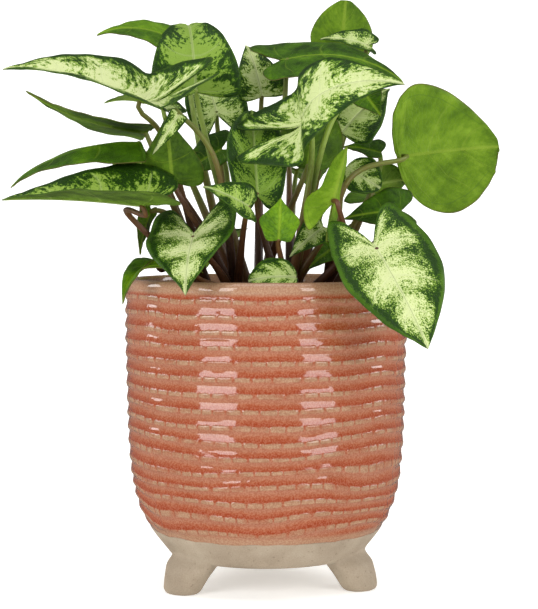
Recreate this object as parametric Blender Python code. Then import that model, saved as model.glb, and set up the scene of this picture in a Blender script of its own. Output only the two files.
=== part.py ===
"""A syngonium in a glazed stoneware pot on three feet, as separate solids.

Metres, +Z up. The origin is on the floor under the middle of the pot, and +Y points away from the viewer.
Sizes below are in millimetres; MM turns them into metres where a mesh is made.
"""

import math

import bmesh
import bpy
from mathutils import Vector, geometry

MM = 0.001
GAP = 0.3  # clearance between two separate pieces that touch in the real plant

# Pot: turned body, pressed rope relief, three pulled feet
POT_SEGMENTS = 32
POT_HEIGHT = 151.0
POT_UNDERSIDE = 14.0
POT_WALL = 5.2
POT_FLOOR_TOP = 22.0
GLAZE_LINE = 28.0
RELIEF_ROWS = 15
RELIEF_START = 30.9
RELIEF_PITCH = 7.2
RELIEF_DEPTH = 1.1
RELIEF_ROW = [(0.10, 0.5), (0.50, 0.0), (0.86, 1.0)]  # share of the row, share of the depth pressed in
BASE_PROFILE = [(43.0, 14.0), (47.5, 15.2), (50.5, 19.0), (54.5, 24.0), (57.4, GLAZE_LINE)]
BODY_RADII = [(28.0, 57.4), (33.0, 60.6), (39.0, 63.2), (48.0, 65.7), (60.0, 67.5), (80.0, 68.7),
              (110.0, 69.4), (125.0, 69.8), (143.0, 69.5)]
LIP_PROFILE = [(69.2, 146.0), (69.0, 148.6), (67.8, 150.4), (66.2, POT_HEIGHT), (64.7, 150.2), (64.0, 148.0)]
FOOT_ANGLES = [216.0, 336.0, 96.0]
FOOT_SECTIONS = [  # height, radius of its centre, half depth, half width
    (0.0, 50.0, 7.5, 9.0),
    (1.6, 49.8, 8.8, 10.4),
    (7.0, 47.6, 10.0, 12.0),
    (13.0, 44.4, 11.0, 15.0),
    (20.0, 40.0, 9.0, 14.0),
]
FOOT_SIDES = 16

# Grow pot that stands inside, and the soil in it
GROW_SEGMENTS = 32
GROW_BASE_RADIUS = 40.5
GROW_TOP_RADIUS = 57.5
GROW_TOP = 135.0
GROW_WALL = 1.2
GROW_LIP = 2.2
GROW_LIP_HEIGHT = 6.0
GROW_FLOOR = POT_FLOOR_TOP + GAP
DRAIN_HOLES = 4
DRAIN_RADIUS = 4.0
DRAIN_CIRCLE = 24.0
SOIL_TOP = 129.0
SOIL_RINGS = [0.0, 0.35, 0.7, 0.93]
SOIL_LUMPS = 1.6

# Shoots: short stems that stand in the soil and carry the leaf stalks
STEM_RADIUS = 3.6
STEM_SIDES = 8
STEM_BURIED = 16.0
STEM_ABOVE = 16.0
STALK_BASE_RADIUS = 2.1
STALK_TIP_RADIUS = 1.15
STALK_SIDES = 5
STALK_STEPS = 7
SHOOTS = {  # where each stem meets the soil
    1: (-14.0, -22.0),
    2: (10.0, -24.0),
    3: (-26.0, 0.0),
    4: (28.0, -4.0),
    5: (-4.0, 2.0),
    6: (12.0, 16.0),
    7: (-14.0, 26.0),
}

# Leaf blades
BLADE_THICK = 0.9
EDGE_THICK = 0.62
MARGIN_STATIONS = 10
SMALL_STATIONS = 8
SMALL_LENGTH = 35.0
BEND_ROOM = 0.35  # how far the facets cut the corner where a midrib bends at the stalk
BLADE_CELLS = 2
FAN_SHARE = 0.40  # share of the margin whose veins start at the stalk
# Half outlines from the sinus to the tip: shares of the length and of the half width
HALF_OUTLINES = {
    "arrow": [(-0.05, 0.0), (-0.20, 0.22), (-0.37, 0.55), (-0.33, 0.86), (-0.10, 1.0), (0.16, 0.99),
              (0.42, 0.76), (0.66, 0.43), (0.86, 0.15), (1.0, 0.0)],
    "winged": [(-0.05, 0.0), (-0.25, 0.10), (-0.50, 0.26), (-0.58, 0.42), (-0.46, 0.62), (-0.16, 0.90),
               (0.12, 1.0), (0.40, 0.78), (0.66, 0.43), (0.86, 0.15), (1.0, 0.0)],
    "heart": [(-0.05, 0.0), (-0.20, 0.20), (-0.33, 0.45), (-0.34, 0.68), (-0.18, 0.84), (0.06, 0.98),
              (0.30, 1.0), (0.50, 0.86), (0.68, 0.64), (0.86, 0.30), (1.0, 0.0)],
    "spear": [(-0.05, 0.0), (-0.30, 0.25), (-0.62, 0.50), (-0.50, 0.80), (-0.20, 1.0), (0.02, 0.90),
              (0.20, 0.58), (0.45, 0.50), (0.70, 0.40), (0.88, 0.20), (1.0, 0.0)],
    "young": [(-0.03, 0.0), (-0.07, 0.35), (-0.04, 0.62), (0.18, 0.82), (0.42, 1.0), (0.62, 0.68), (0.82, 0.28),
              (1.0, 0.0)],
    "long": [(-0.03, 0.0), (-0.19, 0.24), (-0.22, 0.50), (-0.08, 0.74), (0.20, 0.94), (0.45, 1.0), (0.70, 0.78),
             (0.90, 0.36), (1.0, 0.0)],
    "round": [(-0.03, 0.0), (-0.02, 0.25), (0.06, 0.60), (0.20, 0.86), (0.40, 1.0), (0.60, 0.92),
              (0.78, 0.70), (0.92, 0.40), (1.0, 0.14), (1.0, 0.0)],
}

COLOURS = {
    "stoneware": ((0.62, 0.30, 0.22), 0.25),
    "grow_pot": ((0.04, 0.04, 0.045), 0.5),
    "soil": ((0.07, 0.045, 0.03), 0.95),
    "stalk": ((0.27, 0.30, 0.12), 0.5),
    "variegated": ((0.42, 0.58, 0.25), 0.4),
    "plain": ((0.16, 0.33, 0.06), 0.4),
}


def leaf(shoot, base, tip, face, kind="variegated", shape="arrow", wide=0.84, back=1.0, skew=0.0,
         fold=(12, 12), droop=30, lobes=10, twist=0, early=False, via=None, wave=0.6, waves=2.0,
         phase=0.0):
    """One leaf: base and tip of its blade in mm, and the way its upper side faces.

    wide is the blade's width and back its lobes' reach, as shares; skew slides one half forwards and the
    other back; the angles are in degrees. early bends the midrib near the stalk instead of near the tip, and
    via is a point that the leaf's stalk passes.
    """
    return dict(shoot=shoot, base=base, tip=tip, face=face, kind=kind, shape=shape, wide=wide, back=back,
                skew=skew, fold=fold, droop=droop, lobes=lobes, twist=twist, early=early, via=via,
                wave=wave, waves=waves, phase=phase)


LEAVES = {
    # Upper left
    "01": leaf(3, (-58, -40, 236), (-121, -58, 249), (0.05, -0.42, 0.92), shape="winged", wide=0.85,
               fold=(15, 11), droop=34, lobes=-58, via=(-46, -28, 212)),
    "02": leaf(5, (-34, -8, 242), (-40, 28, 274), (0.0, -0.55, 0.83), wide=0.72, back=0.15, droop=125,
               fold=(8, 8)),
    "03": leaf(7, (-40, 46, 268), (-87, 38, 274), (0.0, -0.55, 0.83), kind="plain", wide=0.66, back=0.5,
               fold=(-6, -4), droop=68),
    "04": leaf(3, (-58, -6, 223), (-116, -16, 242), (0.1, 0.14, 0.98), kind="plain", back=0.05,
               fold=(-4, 0), droop=-28),
    "05": leaf(3, (-60, -28, 217), (-121, -36, 195), (-0.2, -0.1, 0.97), kind="plain", back=0.05,
               fold=(-18, -6), droop=45),
    "06": leaf(1, (-56, -66, 187), (-121, -64, 189), (0.0, -0.66, 0.75), back=0.6, fold=(52, 0), droop=14,
               via=(-64, -38, 181)),
    # Lower left
    "07": leaf(1, (-34, -48, 172), (-36, -84, 146), (-0.25, -0.5, 0.8), wide=0.96, back=1.4, fold=(8, 8),
               droop=25, lobes=-10),
    "08": leaf(3, (-56, -20, 184), (-60, -32, 163), (-0.8, 0.5, 0.2), kind="plain", wide=0.6, back=0.5,
               fold=(10, 10), droop=20),
    "09": leaf(3, (-52, -36, 160), (-66, -62, 141), (-0.5, -0.5, 0.7), kind="plain", wide=0.5, back=0.1,
               fold=(20, 20), droop=55, via=(-44, -22, 156)),
    "10": leaf(1, (-34, -49, 157), (-57, -57, 157), (0.0, -0.4, 0.9), kind="plain", wide=0.66, back=0.3,
               droop=30),
    "11": leaf(1, (-44, -41, 198), (-47, -41, 229), (-0.1, 0.95, 0.1), kind="plain", wide=1.0, back=0.3,
               droop=-20),
    "12": leaf(1, (-41, -44, 229), (-53, -47, 210), (0.5, -0.7, 0.5), wide=0.4, back=0.1, fold=(20, 20),
               droop=20, via=(-23, -34, 205)),
    # Upper right
    "13": leaf(5, (-2, 44, 243), (-11, 60, 271), (0.0, -0.6, 0.8), wide=0.75, back=0.1, droop=60),
    "14": leaf(5, (10, 14, 260), (68, 2, 247), (0.0, -0.35, 0.95), kind="plain", wide=0.72, back=0.65,
               skew=-0.5, fold=(6, -14), droop=54, lobes=-14),
    "15": leaf(6, (52, 46, 270), (28, 48, 273), (0.1, -0.55, 0.83), wide=0.9, back=0.6, droop=30),
    "16": leaf(6, (39, 56, 262), (42, 64, 295), (0.0, 0.9, 0.3), kind="plain", wide=1.0, shape="round",
               droop=20),
    "17": leaf(2, (17, -42, 227), (64, -58, 242), (-0.1, -0.7, 0.7), shape="winged", wide=0.88, back=1.05,
               fold=(4, -2), droop=115, early=True, lobes=-80),
    "18": leaf(4, (66, 4, 211), (119, 32, 217), (-0.45, 0.85, 0.25), kind="plain", wide=1.15, skew=0.34,
               shape="round", fold=(6, 6), droop=20, via=(38, -22, 196)),
    "19": leaf(2, (46, -24, 242), (55, -28, 229), (0.0, -0.9, 0.4), kind="plain", wide=1.1, back=0.4,
               droop=10, via=(28, -34, 218)),
    "20": leaf(6, (37, -8, 222), (62, 12, 245), (-0.3, -0.8, 0.6), wide=1.0, back=0.2, droop=30),
    "21": leaf(4, (57, 10, 213), (38, 14, 216), (0.0, -0.6, 0.8), kind="plain", wide=0.8, back=0.2,
               droop=20),
    "22": leaf(4, (40, -2, 205), (56, -6, 195), (0.0, -0.9, 0.4), wide=1.1, shape="round", droop=10),
    "23": leaf(4, (65, -12, 184), (38, -10, 180), (0.0, -0.75, 0.65), kind="plain", wide=0.95, back=0.7,
               droop=20),
    # Lower right and middle
    "24": leaf(4, (51, -58, 167), (73, -84, 122), (0.2, -0.85, 0.5), shape="heart", wide=0.94, skew=-0.12,
               fold=(0, 12), droop=20, lobes=-8),
    "25": leaf(2, (31, -52, 188), (38, -46, 214), (0.2, 0.9, 0.3), kind="plain", shape="spear", wide=0.9,
               fold=(76, -6), droop=10, via=(36, -42, 163)),
    "26": leaf(5, (20, -21, 205), (26, -12, 237), (0.0, 0.95, 0.3), kind="plain", shape="round",
               wide=0.95, droop=15),
    "27": leaf(2, (-4, -31, 192), (-7, -10, 233), (0.0, -0.9, 0.4), shape="long", wide=0.66, back=0.75,
               fold=(30, 8), droop=30),
    "28": leaf(1, (-8, -52, 186), (-29, -60, 195), (0.1, -0.7, 0.7), wide=0.95, back=0.4, droop=20),
    "29": leaf(2, (6, -57, 171), (7, -53, 190), (0.0, -0.95, 0.3), kind="plain", shape="young", wide=1.0,
               droop=0, via=(9, -40, 153)),
    "30": leaf(2, (27, -39, 176), (11, -42, 162), (-0.1, -0.8, 0.6), wide=0.8, back=0.3, droop=20),
    "31": leaf(4, (31, -20, 165), (19, -24, 155), (-0.1, -0.8, 0.6), kind="plain", wide=0.8, back=0.4,
               droop=20),
    "32": leaf(2, (14, -52, 153), (-8, -53, 151), (0.0, -0.8, 0.6), wide=0.88, shape="round", droop=40),
    "33": leaf(7, (-24, 14, 214), (-45, 16, 200), (0.0, -0.8, 0.6), kind="plain", wide=0.8, droop=20),
    "41": leaf(4, (54, 17, 197), (71, 19, 200), (0.1, 0.8, 0.5), wide=1.1, shape="round", droop=20),
    # Back
    "34": leaf(7, (-54, 46, 210), (-86, 70, 202), (-0.2, 0.2, 0.95), back=0.4, droop=30),
    "35": leaf(7, (-26, 58, 236), (-36, 88, 256), (0.0, -0.5, 0.85), droop=60),
    "36": leaf(6, (16, 58, 206), (26, 92, 194), (0.1, 0.2, 0.95), kind="plain", back=0.5, droop=40),
    "37": leaf(7, (-30, 52, 172), (-36, 92, 148), (0.0, 0.5, 0.85), back=0.4, droop=50),
    "38": leaf(6, (12, 54, 228), (8, 90, 238), (0.0, -0.2, 0.95), back=0.6, droop=50),
    "39": leaf(7, (-52, 32, 236), (-84, 46, 240), (-0.1, 0.0, 0.95), back=0.5, droop=40),
    "40": leaf(6, (56, 34, 190), (74, 62, 188), (0.1, 0.1, 0.95), kind="plain", droop=30),
}


def blend(a, b, share):
    return a + (b - a) * share


def smooth_through(points, count):
    """count + 1 points at equal steps along a Catmull-Rom curve through the given ones."""
    known = [Vector(p) for p in points]
    ends = [known[0] * 2 - known[1]] + known + [known[-1] * 2 - known[-2]]
    fine = []
    steps = 12
    for a, b, c, d in zip(ends, ends[1:], ends[2:], ends[3:]):
        for k in range(steps):
            t = k / steps
            fine.append(0.5 * (2 * b + (c - a) * t + (2 * a - 5 * b + 4 * c - d) * t * t
                               + (3 * b - a - 3 * c + d) * t ** 3))
    fine.append(known[-1])
    lengths = [0.0]
    for a, b in zip(fine, fine[1:]):
        lengths.append(lengths[-1] + (b - a).length)
    found = []
    at = 0
    for k in range(count + 1):
        want = lengths[-1] * k / count
        while at < len(fine) - 2 and lengths[at + 1] < want:
            at += 1
        share = (want - lengths[at]) / (lengths[at + 1] - lengths[at])
        found.append(blend(fine[at], fine[at + 1], min(1.0, share)))
    return found


class Blade:
    """The curved surface of one leaf. point(u, v) takes mm along and across the midrib."""

    STEPS = 24

    def __init__(self, row):
        self.row = row
        self.base = Vector(row["base"])
        chord = Vector(row["tip"]) - self.base
        self.along = chord.normalized()
        face = Vector(row["face"])
        self.up = (face - self.along * face.dot(self.along)).normalized()
        self.side = self.up.cross(self.along)
        self.midrib(chord.length)
        self.half_width = self.length * row["wide"] / 2

    def midrib(self, chord):
        """Walks the midrib in its own plane, bending most near the tip, or near the stalk if early."""
        bend = math.radians(self.row["droop"])
        power = 0.6 if self.row["early"] else 1.3
        angles = [bend * (0.5 - (k / self.STEPS) ** power) for k in range(self.STEPS + 1)]
        points = [Vector((0.0, 0.0))]
        for a, b in zip(angles, angles[1:]):
            middle = (a + b) / 2
            points.append(points[-1] + Vector((math.cos(middle), math.sin(middle))))
        end = points[-1]
        turn = math.atan2(end.y, end.x)
        scale = chord / end.length
        self.length = self.STEPS * scale
        self.angles = [a - turn for a in angles]
        cos, sin = math.cos(-turn), math.sin(-turn)
        self.points = [Vector((p.x * cos - p.y * sin, p.x * sin + p.y * cos)) * scale for p in points]

    def spine(self, u):
        """(point, angle) of the midrib at u mm, and of the lobes' middle line behind the stalk."""
        if u < 0:
            lobe = math.radians(self.row["lobes"])
            zone = 0.15 * self.length
            share = min(1.0, -u / zone)
            half = self.angles[0] + lobe * share / 2
            full = self.angles[0] + lobe * share
            near = Vector((math.cos(half), math.sin(half))) * max(u, -zone)
            return near + Vector((math.cos(full), math.sin(full))) * min(0.0, u + zone), full
        place = min(u / self.length, 1.0) * self.STEPS
        k = min(int(place), self.STEPS - 1)
        share = place - k
        return blend(self.points[k], self.points[k + 1], share), blend(self.angles[k], self.angles[k + 1], share)

    def point(self, u, v):
        row = self.row
        middle, angle = self.spine(u)
        share = max(0.0, u / self.length)
        out = abs(v) / self.half_width
        fold = math.radians(row["fold"][0 if v > 0 else 1])
        across = math.cos(fold) * v
        rise = math.sin(fold) * abs(v)
        ripple = math.sin(2 * math.pi * row["waves"] * u / self.length + row["phase"] + (v > 0) * 1.9)
        rise += row["wave"] * min(out, 1.0) ** 2 * ripple
        twist = math.radians(row["twist"]) * share
        across, rise = (across * math.cos(twist) - rise * math.sin(twist),
                        across * math.sin(twist) + rise * math.cos(twist))
        normal = self.up * math.cos(angle) - self.along * math.sin(angle)
        return self.base + self.along * middle.x + self.up * middle.y + self.side * across + normal * rise

    def normal(self, u, v):
        step = 0.25
        du = self.point(u + step, v) - self.point(u - step, v)
        dv = self.point(u, v + step) - self.point(u, v - step)
        return du.cross(dv).normalized()

    def stalk_end(self):
        """(centre of the stalk's end, the blade's normal there, the way the stalk runs there)."""
        u = 0.02 * self.length
        normal = self.normal(u, 0.0)
        forward = (self.point(u + 0.5, 0.0) - self.point(u, 0.0)).normalized()
        sag = max(0.0, math.sin(math.radians(-min(self.row["fold"]))))
        room = BLADE_THICK / 2 + GAP + 0.1 + sag * STALK_TIP_RADIUS * 1.4
        if self.row["early"]:
            room += BEND_ROOM
        return self.point(u, 0.0) - normal * room, normal, (forward * 0.5 + normal * 0.87).normalized()


def blade_net(blade, stations, cells):
    """Flat (u, v) points of the whole blade and its triangles, counter-clockwise seen from above."""
    length, half = blade.length, blade.half_width
    back = blade.row["back"]
    outline = smooth_through(HALF_OUTLINES[blade.row["shape"]], stations)
    spots, index, faces = [], {}, []

    def spot(u, v):
        key = (round(u, 4), round(v, 4))
        if key not in index:
            index[key] = len(spots)
            spots.append((u, v))
        return index[key]

    for side in (1, -1):
        rows = []
        for k, (u, v) in enumerate(outline):
            reach = max(0.0, (k / stations - FAN_SHARE) / (1 - FAN_SHARE)) ** 1.1
            root = Vector((reach * length, 0.0))
            across = v * half * side
            edge = Vector((u * length * (back if u < 0 else 1.0) + blade.row["skew"] * across, across))
            rows.append([spot(*blend(root, edge, c / cells)) for c in range(cells + 1)])
        for a, b in zip(rows, rows[1:]):
            for c in range(cells):
                quad = [a[c], a[c + 1], b[c + 1], b[c]]
                for tri in ((quad[0], quad[1], quad[2]), (quad[0], quad[2], quad[3])):
                    if len(set(tri)) == 3:
                        faces.append(tri if side < 0 else tri[::-1])
    return spots, faces


def rim_edges(faces):
    """Directed edges that only one triangle uses, which are the blade's margin."""
    used = {(t[k], t[(k + 1) % 3]) for t in faces for k in range(3)}
    return [edge for edge in used if (edge[1], edge[0]) not in used]


def add_object(name, points, faces, material):
    """A mesh object from points in mm."""
    mesh = bpy.data.meshes.new(name)
    mesh.from_pydata([Vector(p) * MM for p in points], [], faces)
    made = bmesh.new()
    made.from_mesh(mesh)
    bmesh.ops.recalc_face_normals(made, faces=made.faces)
    made.to_mesh(mesh)
    made.free()
    mesh.shade_smooth()
    mesh.set_sharp_from_angle(angle=math.radians(40))
    obj = bpy.data.objects.new(name, mesh)
    bpy.context.scene.collection.objects.link(obj)
    if material:
        mesh.materials.append(bpy.data.materials[material])
    return obj


def make_blade(name, row):
    """A closed blade: an upper and a lower sheet split alike, joined round the margin."""
    blade = Blade(row)
    stations = SMALL_STATIONS if blade.length < SMALL_LENGTH else MARGIN_STATIONS
    spots, faces = blade_net(blade, stations, BLADE_CELLS)
    count = len(spots)
    upper, lower = [], []
    for u, v in spots:
        thick = blend(BLADE_THICK, EDGE_THICK, min(1.0, abs(v) / blade.half_width)) / 2
        at, normal = blade.point(u, v), blade.normal(u, v)
        upper.append(at + normal * thick)
        lower.append(at - normal * thick)
    shell = list(faces) + [tuple(i + count for i in reversed(t)) for t in faces]
    for a, b in rim_edges(faces):
        shell.append((b, a, a + count))
        shell.append((b, a + count, b + count))
    return add_object(name, upper + lower, shell, row["kind"])


def tube(name, path, radii, sides, material, cut=None):
    """A closed tube along a path. cut is a plane's normal, to which the last ring is sheared."""
    points = []
    for k, at in enumerate(path):
        before, after = path[max(k - 1, 0)], path[min(k + 1, len(path) - 1)]
        run = (after - before).normalized()
        right = run.cross(Vector((0.31, -0.95, 0.05))).normalized()
        front = run.cross(right)
        for s in range(sides):
            turn = 2 * math.pi * s / sides
            ring = (right * math.cos(turn) + front * math.sin(turn)) * radii[k]
            if cut is not None and k == len(path) - 1:
                ring -= run * (ring.dot(cut) / run.dot(cut))
            points.append(at + ring)
    faces = []
    for k in range(len(path) - 1):
        for s in range(sides):
            t = (s + 1) % sides
            a, b = k * sides, (k + 1) * sides
            faces.append((a + s, a + t, b + t, b + s))
    faces.append(tuple(reversed(range(sides))))
    faces.append(tuple(range(len(points) - sides, len(points))))
    return add_object(name, points, faces, material)


def turned(name, profile, segments, material):
    """A solid of revolution. The profile is (radius, height) and starts and ends on the axis."""
    points, rings = [], []
    for radius, height in profile:
        if radius == 0:
            rings.append([len(points)] * segments)
            points.append((0.0, 0.0, height))
            continue
        rings.append(list(range(len(points), len(points) + segments)))
        for k in range(segments):
            turn = 2 * math.pi * k / segments
            points.append((radius * math.cos(turn), radius * math.sin(turn), height))
    faces = []
    for low, high in zip(rings, rings[1:]):
        for k in range(segments):
            n = (k + 1) % segments
            corners = dict.fromkeys((low[k], low[n], high[n], high[k]))
            faces.append(tuple(corners))
    return add_object(name, points, faces, material)


def apply_modifiers(obj):
    """Keeps the object's evaluated mesh and drops its modifiers."""
    graph = bpy.context.evaluated_depsgraph_get()
    mesh = bpy.data.meshes.new_from_object(obj.evaluated_get(graph))
    obj.modifiers.clear()
    obj.data = mesh


def join_with(obj, others):
    """One Boolean union of obj with the others, applied; the others are removed."""
    repeats = bpy.data.collections.new(obj.name + "_repeats")
    bpy.context.scene.collection.children.link(repeats)
    for other in others:
        bpy.context.scene.collection.objects.unlink(other)
        repeats.objects.link(other)
    union = obj.modifiers.new("join", "BOOLEAN")
    union.operation = "UNION"
    union.operand_type = "COLLECTION"
    union.collection = repeats
    union.solver = "EXACT"
    apply_modifiers(obj)
    for other in others:
        bpy.data.objects.remove(other)
    bpy.data.collections.remove(repeats)


def cut_with(obj, cutters):
    """Cuts the cutters' shapes out of obj, applied; the cutters are removed."""
    for cutter in cutters:
        cut = obj.modifiers.new("cut", "BOOLEAN")
        cut.operation = "DIFFERENCE"
        cut.object = cutter
        cut.solver = "EXACT"
    apply_modifiers(obj)
    for cutter in cutters:
        bpy.data.objects.remove(cutter)


def cylinder(name, x, y, low, high, radius, sides, material=None):
    return tube(name, [Vector((x, y, low)), Vector((x, y, high))], [radius, radius], sides, material)


def body_radius(height):
    """Outer radius of the pot's wall without its relief."""
    for (z0, r0), (z1, r1) in zip(BODY_RADII, BODY_RADII[1:]):
        if height <= z1:
            return blend(r0, r1, (height - z0) / (z1 - z0))
    return BODY_RADII[-1][1]


def make_pot():
    """The stoneware pot: underside, bare base, ribbed wall, lip, inside wall and floor, with three feet."""
    outer = [(0.0, POT_UNDERSIDE)] + BASE_PROFILE
    for k in range(RELIEF_ROWS):
        for share, depth in RELIEF_ROW:
            height = RELIEF_START + (k + share) * RELIEF_PITCH
            outer.append((body_radius(height) - depth * RELIEF_DEPTH, height))
    inner = [(body_radius(z) - POT_WALL, z) for z in (120.0, 90.0, 60.0, 44.0)]
    floor = [(54.0, 34.0), (48.0, 26.0), (43.0, POT_FLOOR_TOP), (0.0, POT_FLOOR_TOP)]
    pot = turned("pot", outer + LIP_PROFILE + inner + floor, POT_SEGMENTS, "stoneware")
    join_with(pot, [make_foot(k, math.radians(angle)) for k, angle in enumerate(FOOT_ANGLES)])


def make_foot(number, angle):
    """A foot pulled down and outwards from the base, flat underneath."""
    outward = Vector((math.cos(angle), math.sin(angle), 0.0))
    sideways = Vector((-math.sin(angle), math.cos(angle), 0.0))
    points = []
    for height, reach, deep, half in FOOT_SECTIONS:
        for s in range(FOOT_SIDES):
            turn = 2 * math.pi * s / FOOT_SIDES
            points.append(outward * (reach + deep * math.cos(turn)) + sideways * half * math.sin(turn)
                          + Vector((0.0, 0.0, height)))
    faces = [tuple(reversed(range(FOOT_SIDES)))]
    for k in range(len(FOOT_SECTIONS) - 1):
        for s in range(FOOT_SIDES):
            t = (s + 1) % FOOT_SIDES
            a, b = k * FOOT_SIDES, (k + 1) * FOOT_SIDES
            faces.append((a + s, a + t, b + t, b + s))
    faces.append(tuple(range(len(points) - FOOT_SIDES, len(points))))
    return add_object(f"foot_{number}", points, faces, "stoneware")


def grow_radius(height):
    """Inner radius of the grow pot's wall."""
    share = (height - GROW_FLOOR) / (GROW_TOP - GROW_FLOOR)
    return blend(GROW_BASE_RADIUS, GROW_TOP_RADIUS, share) - GROW_WALL


def make_grow_pot():
    """The thin plastic pot inside, with a lip and drain holes."""
    floor = GROW_FLOOR + GROW_WALL
    skirt = GROW_TOP - GROW_LIP_HEIGHT
    profile = [(0.0, GROW_FLOOR), (GROW_BASE_RADIUS, GROW_FLOOR), (grow_radius(skirt) + GROW_WALL, skirt),
               (GROW_TOP_RADIUS + GROW_LIP, skirt + 0.4), (GROW_TOP_RADIUS + GROW_LIP + 0.6, GROW_TOP),
               (grow_radius(GROW_TOP), GROW_TOP), (grow_radius(floor), floor), (0.0, floor)]
    grow_pot = turned("grow_pot", profile, GROW_SEGMENTS, "grow_pot")
    holes = []
    for k in range(DRAIN_HOLES):
        turn = 2 * math.pi * (k + 0.5) / DRAIN_HOLES
        holes.append(cylinder(f"drain_{k}", DRAIN_CIRCLE * math.cos(turn), DRAIN_CIRCLE * math.sin(turn),
                              GROW_FLOOR - 2, floor + 2, DRAIN_RADIUS, 12))
    cut_with(grow_pot, holes)


def soil_height(x, y):
    """Height of the soil's crumbled top."""
    return SOIL_TOP + SOIL_LUMPS * math.sin(x * 0.13 + 1.0) * math.cos(y * 0.11 + 0.4)


def make_soil():
    """The soil ball, with a plain hole for each stem."""
    low = GROW_FLOOR + GROW_WALL + GAP
    edge = grow_radius(SOIL_TOP - 2.0) - GAP
    profile = [(0.0, low), (grow_radius(low) - GAP, low), (edge, SOIL_TOP - 2.0)]
    profile += [(edge * share, SOIL_TOP) for share in reversed(SOIL_RINGS)]
    soil = turned("soil", profile, GROW_SEGMENTS, "soil")
    for vertex in soil.data.vertices:
        if vertex.co.z > (SOIL_TOP - 0.5) * MM:
            vertex.co.z = soil_height(vertex.co.x / MM, vertex.co.y / MM) * MM
    holes = []
    for number, (x, y) in SHOOTS.items():
        bottom = SOIL_TOP - STEM_BURIED - GAP
        holes.append(cylinder(f"hole_{number}", x, y, bottom, SOIL_TOP + 6, STEM_RADIUS + GAP, STEM_SIDES))
    cut_with(soil, holes)


def stalk_path(row, number, count):
    """The leaf stalk's middle line, from inside its stem to the blade, and the blade's normal there."""
    x, y = SHOOTS[row["shoot"]]
    end, normal, arrive = Blade(row).stalk_end()
    start = Vector((x, y, blend(SOIL_TOP + 4.0, SOIL_TOP + STEM_ABOVE - 5.0, number / max(1, count - 1))))
    flat = Vector((end.x - x, end.y - y, 0.0))
    lean = (Vector((0.0, 0.0, 1.0)) + flat.normalized() * 0.35).normalized()
    if row["via"]:
        over = Vector(row["via"])
        last = end - arrive * min(6.0, 0.3 * (end - over).length)
        return smooth_through([start, over, last, end], STALK_STEPS), normal
    reach = (end - start).length
    last = end - arrive * min(14.0, 0.3 * reach)
    return geometry.interpolate_bezier(start, start + lean * 0.45 * reach, last, end, STALK_STEPS + 1), normal


def make_shoot(number):
    """A short stem in the soil with the stalks of its leaves, all grown as one piece."""
    x, y = SHOOTS[number]
    rows = [row for row in LEAVES.values() if row["shoot"] == number]
    path = [Vector((x, y, SOIL_TOP - STEM_BURIED)), Vector((x, y, SOIL_TOP + STEM_ABOVE * 0.7)),
            Vector((x, y, SOIL_TOP + STEM_ABOVE))]
    stem = tube(f"shoot_{number}", path, [STEM_RADIUS, STEM_RADIUS, STEM_RADIUS * 0.6], STEM_SIDES, "stalk")
    stalks = []
    for k, row in enumerate(rows):
        line, normal = stalk_path(row, k, len(rows))
        radii = [blend(STALK_BASE_RADIUS, STALK_TIP_RADIUS, (i / STALK_STEPS) ** 0.7)
                 for i in range(STALK_STEPS + 1)]
        stalks.append(tube(f"stalk_{number}_{k}", line, radii, STALK_SIDES, "stalk", cut=normal))
    if stalks:
        join_with(stem, stalks)


def make_materials():
    for name, (colour, roughness) in COLOURS.items():
        material = bpy.data.materials.new(name)
        material.use_nodes = True
        shader = material.node_tree.nodes["Principled BSDF"]
        shader.inputs["Base Color"].default_value = (*colour, 1.0)
        shader.inputs["Roughness"].default_value = roughness
        shader.inputs["Metallic"].default_value = 0.0


def main():
    for obj in list(bpy.data.objects):
        bpy.data.objects.remove(obj)
    make_materials()
    make_pot()
    make_grow_pot()
    make_soil()
    for number in SHOOTS:
        make_shoot(number)
    for name, row in LEAVES.items():
        make_blade(f"leaf_{name}", row)


main()
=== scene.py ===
"""The looks of a potted syngonium: fine leaves, stalks, soil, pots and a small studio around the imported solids.

Lengths are in millimetres unless a name says otherwise; MM turns them into metres where a mesh is made.
The leaf table, the outlines and the pot's main sizes repeat those of the part's source.
"""

import math
import random

import bmesh
import bpy
from mathutils import Matrix, Vector, geometry, noise


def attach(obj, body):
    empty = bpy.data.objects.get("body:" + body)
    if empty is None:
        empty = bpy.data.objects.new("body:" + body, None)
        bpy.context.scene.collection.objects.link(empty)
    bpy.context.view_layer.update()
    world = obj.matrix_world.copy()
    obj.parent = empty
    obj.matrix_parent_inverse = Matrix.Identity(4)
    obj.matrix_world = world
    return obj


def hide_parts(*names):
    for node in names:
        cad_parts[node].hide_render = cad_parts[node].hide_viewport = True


MM = 0.001
BODY = "root"

# Pot
POT_HEIGHT = 151.0
POT_UNDERSIDE = 14.0
POT_WALL = 5.2
POT_FLOOR_TOP = 22.0
GLAZE_LINE = 28.0
RELIEF_START = 30.9
RELIEF_TOP = 144.0
RELIEF_PITCH = 7.2
RELIEF_DEPTH = 1.15
BEADS_ROUND = 54
BEAD_LENGTH = 8.1
BEAD_HALF = 1.1  # half of a bead's height
BEAD_MIDDLE = 0.48  # share of its row
BEAD_TOP = BEAD_MIDDLE + BEAD_HALF / RELIEF_PITCH
BASE_PROFILE = [(43.0, 14.0), (47.5, 15.2), (50.5, 19.0), (54.5, 24.0), (57.4, GLAZE_LINE)]
BODY_RADII = [(28.0, 57.4), (33.0, 60.6), (39.0, 63.2), (48.0, 65.7), (60.0, 67.5), (80.0, 68.7),
              (110.0, 69.4), (125.0, 69.8), (143.0, 69.5), (146.0, 69.2)]
LIP_PROFILE = [(69.2, 146.0), (69.0, 148.6), (67.8, 150.4), (66.2, POT_HEIGHT), (64.7, 150.2), (64.0, 148.0)]
FOOT_ANGLES = [216.0, 336.0, 96.0]
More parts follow.
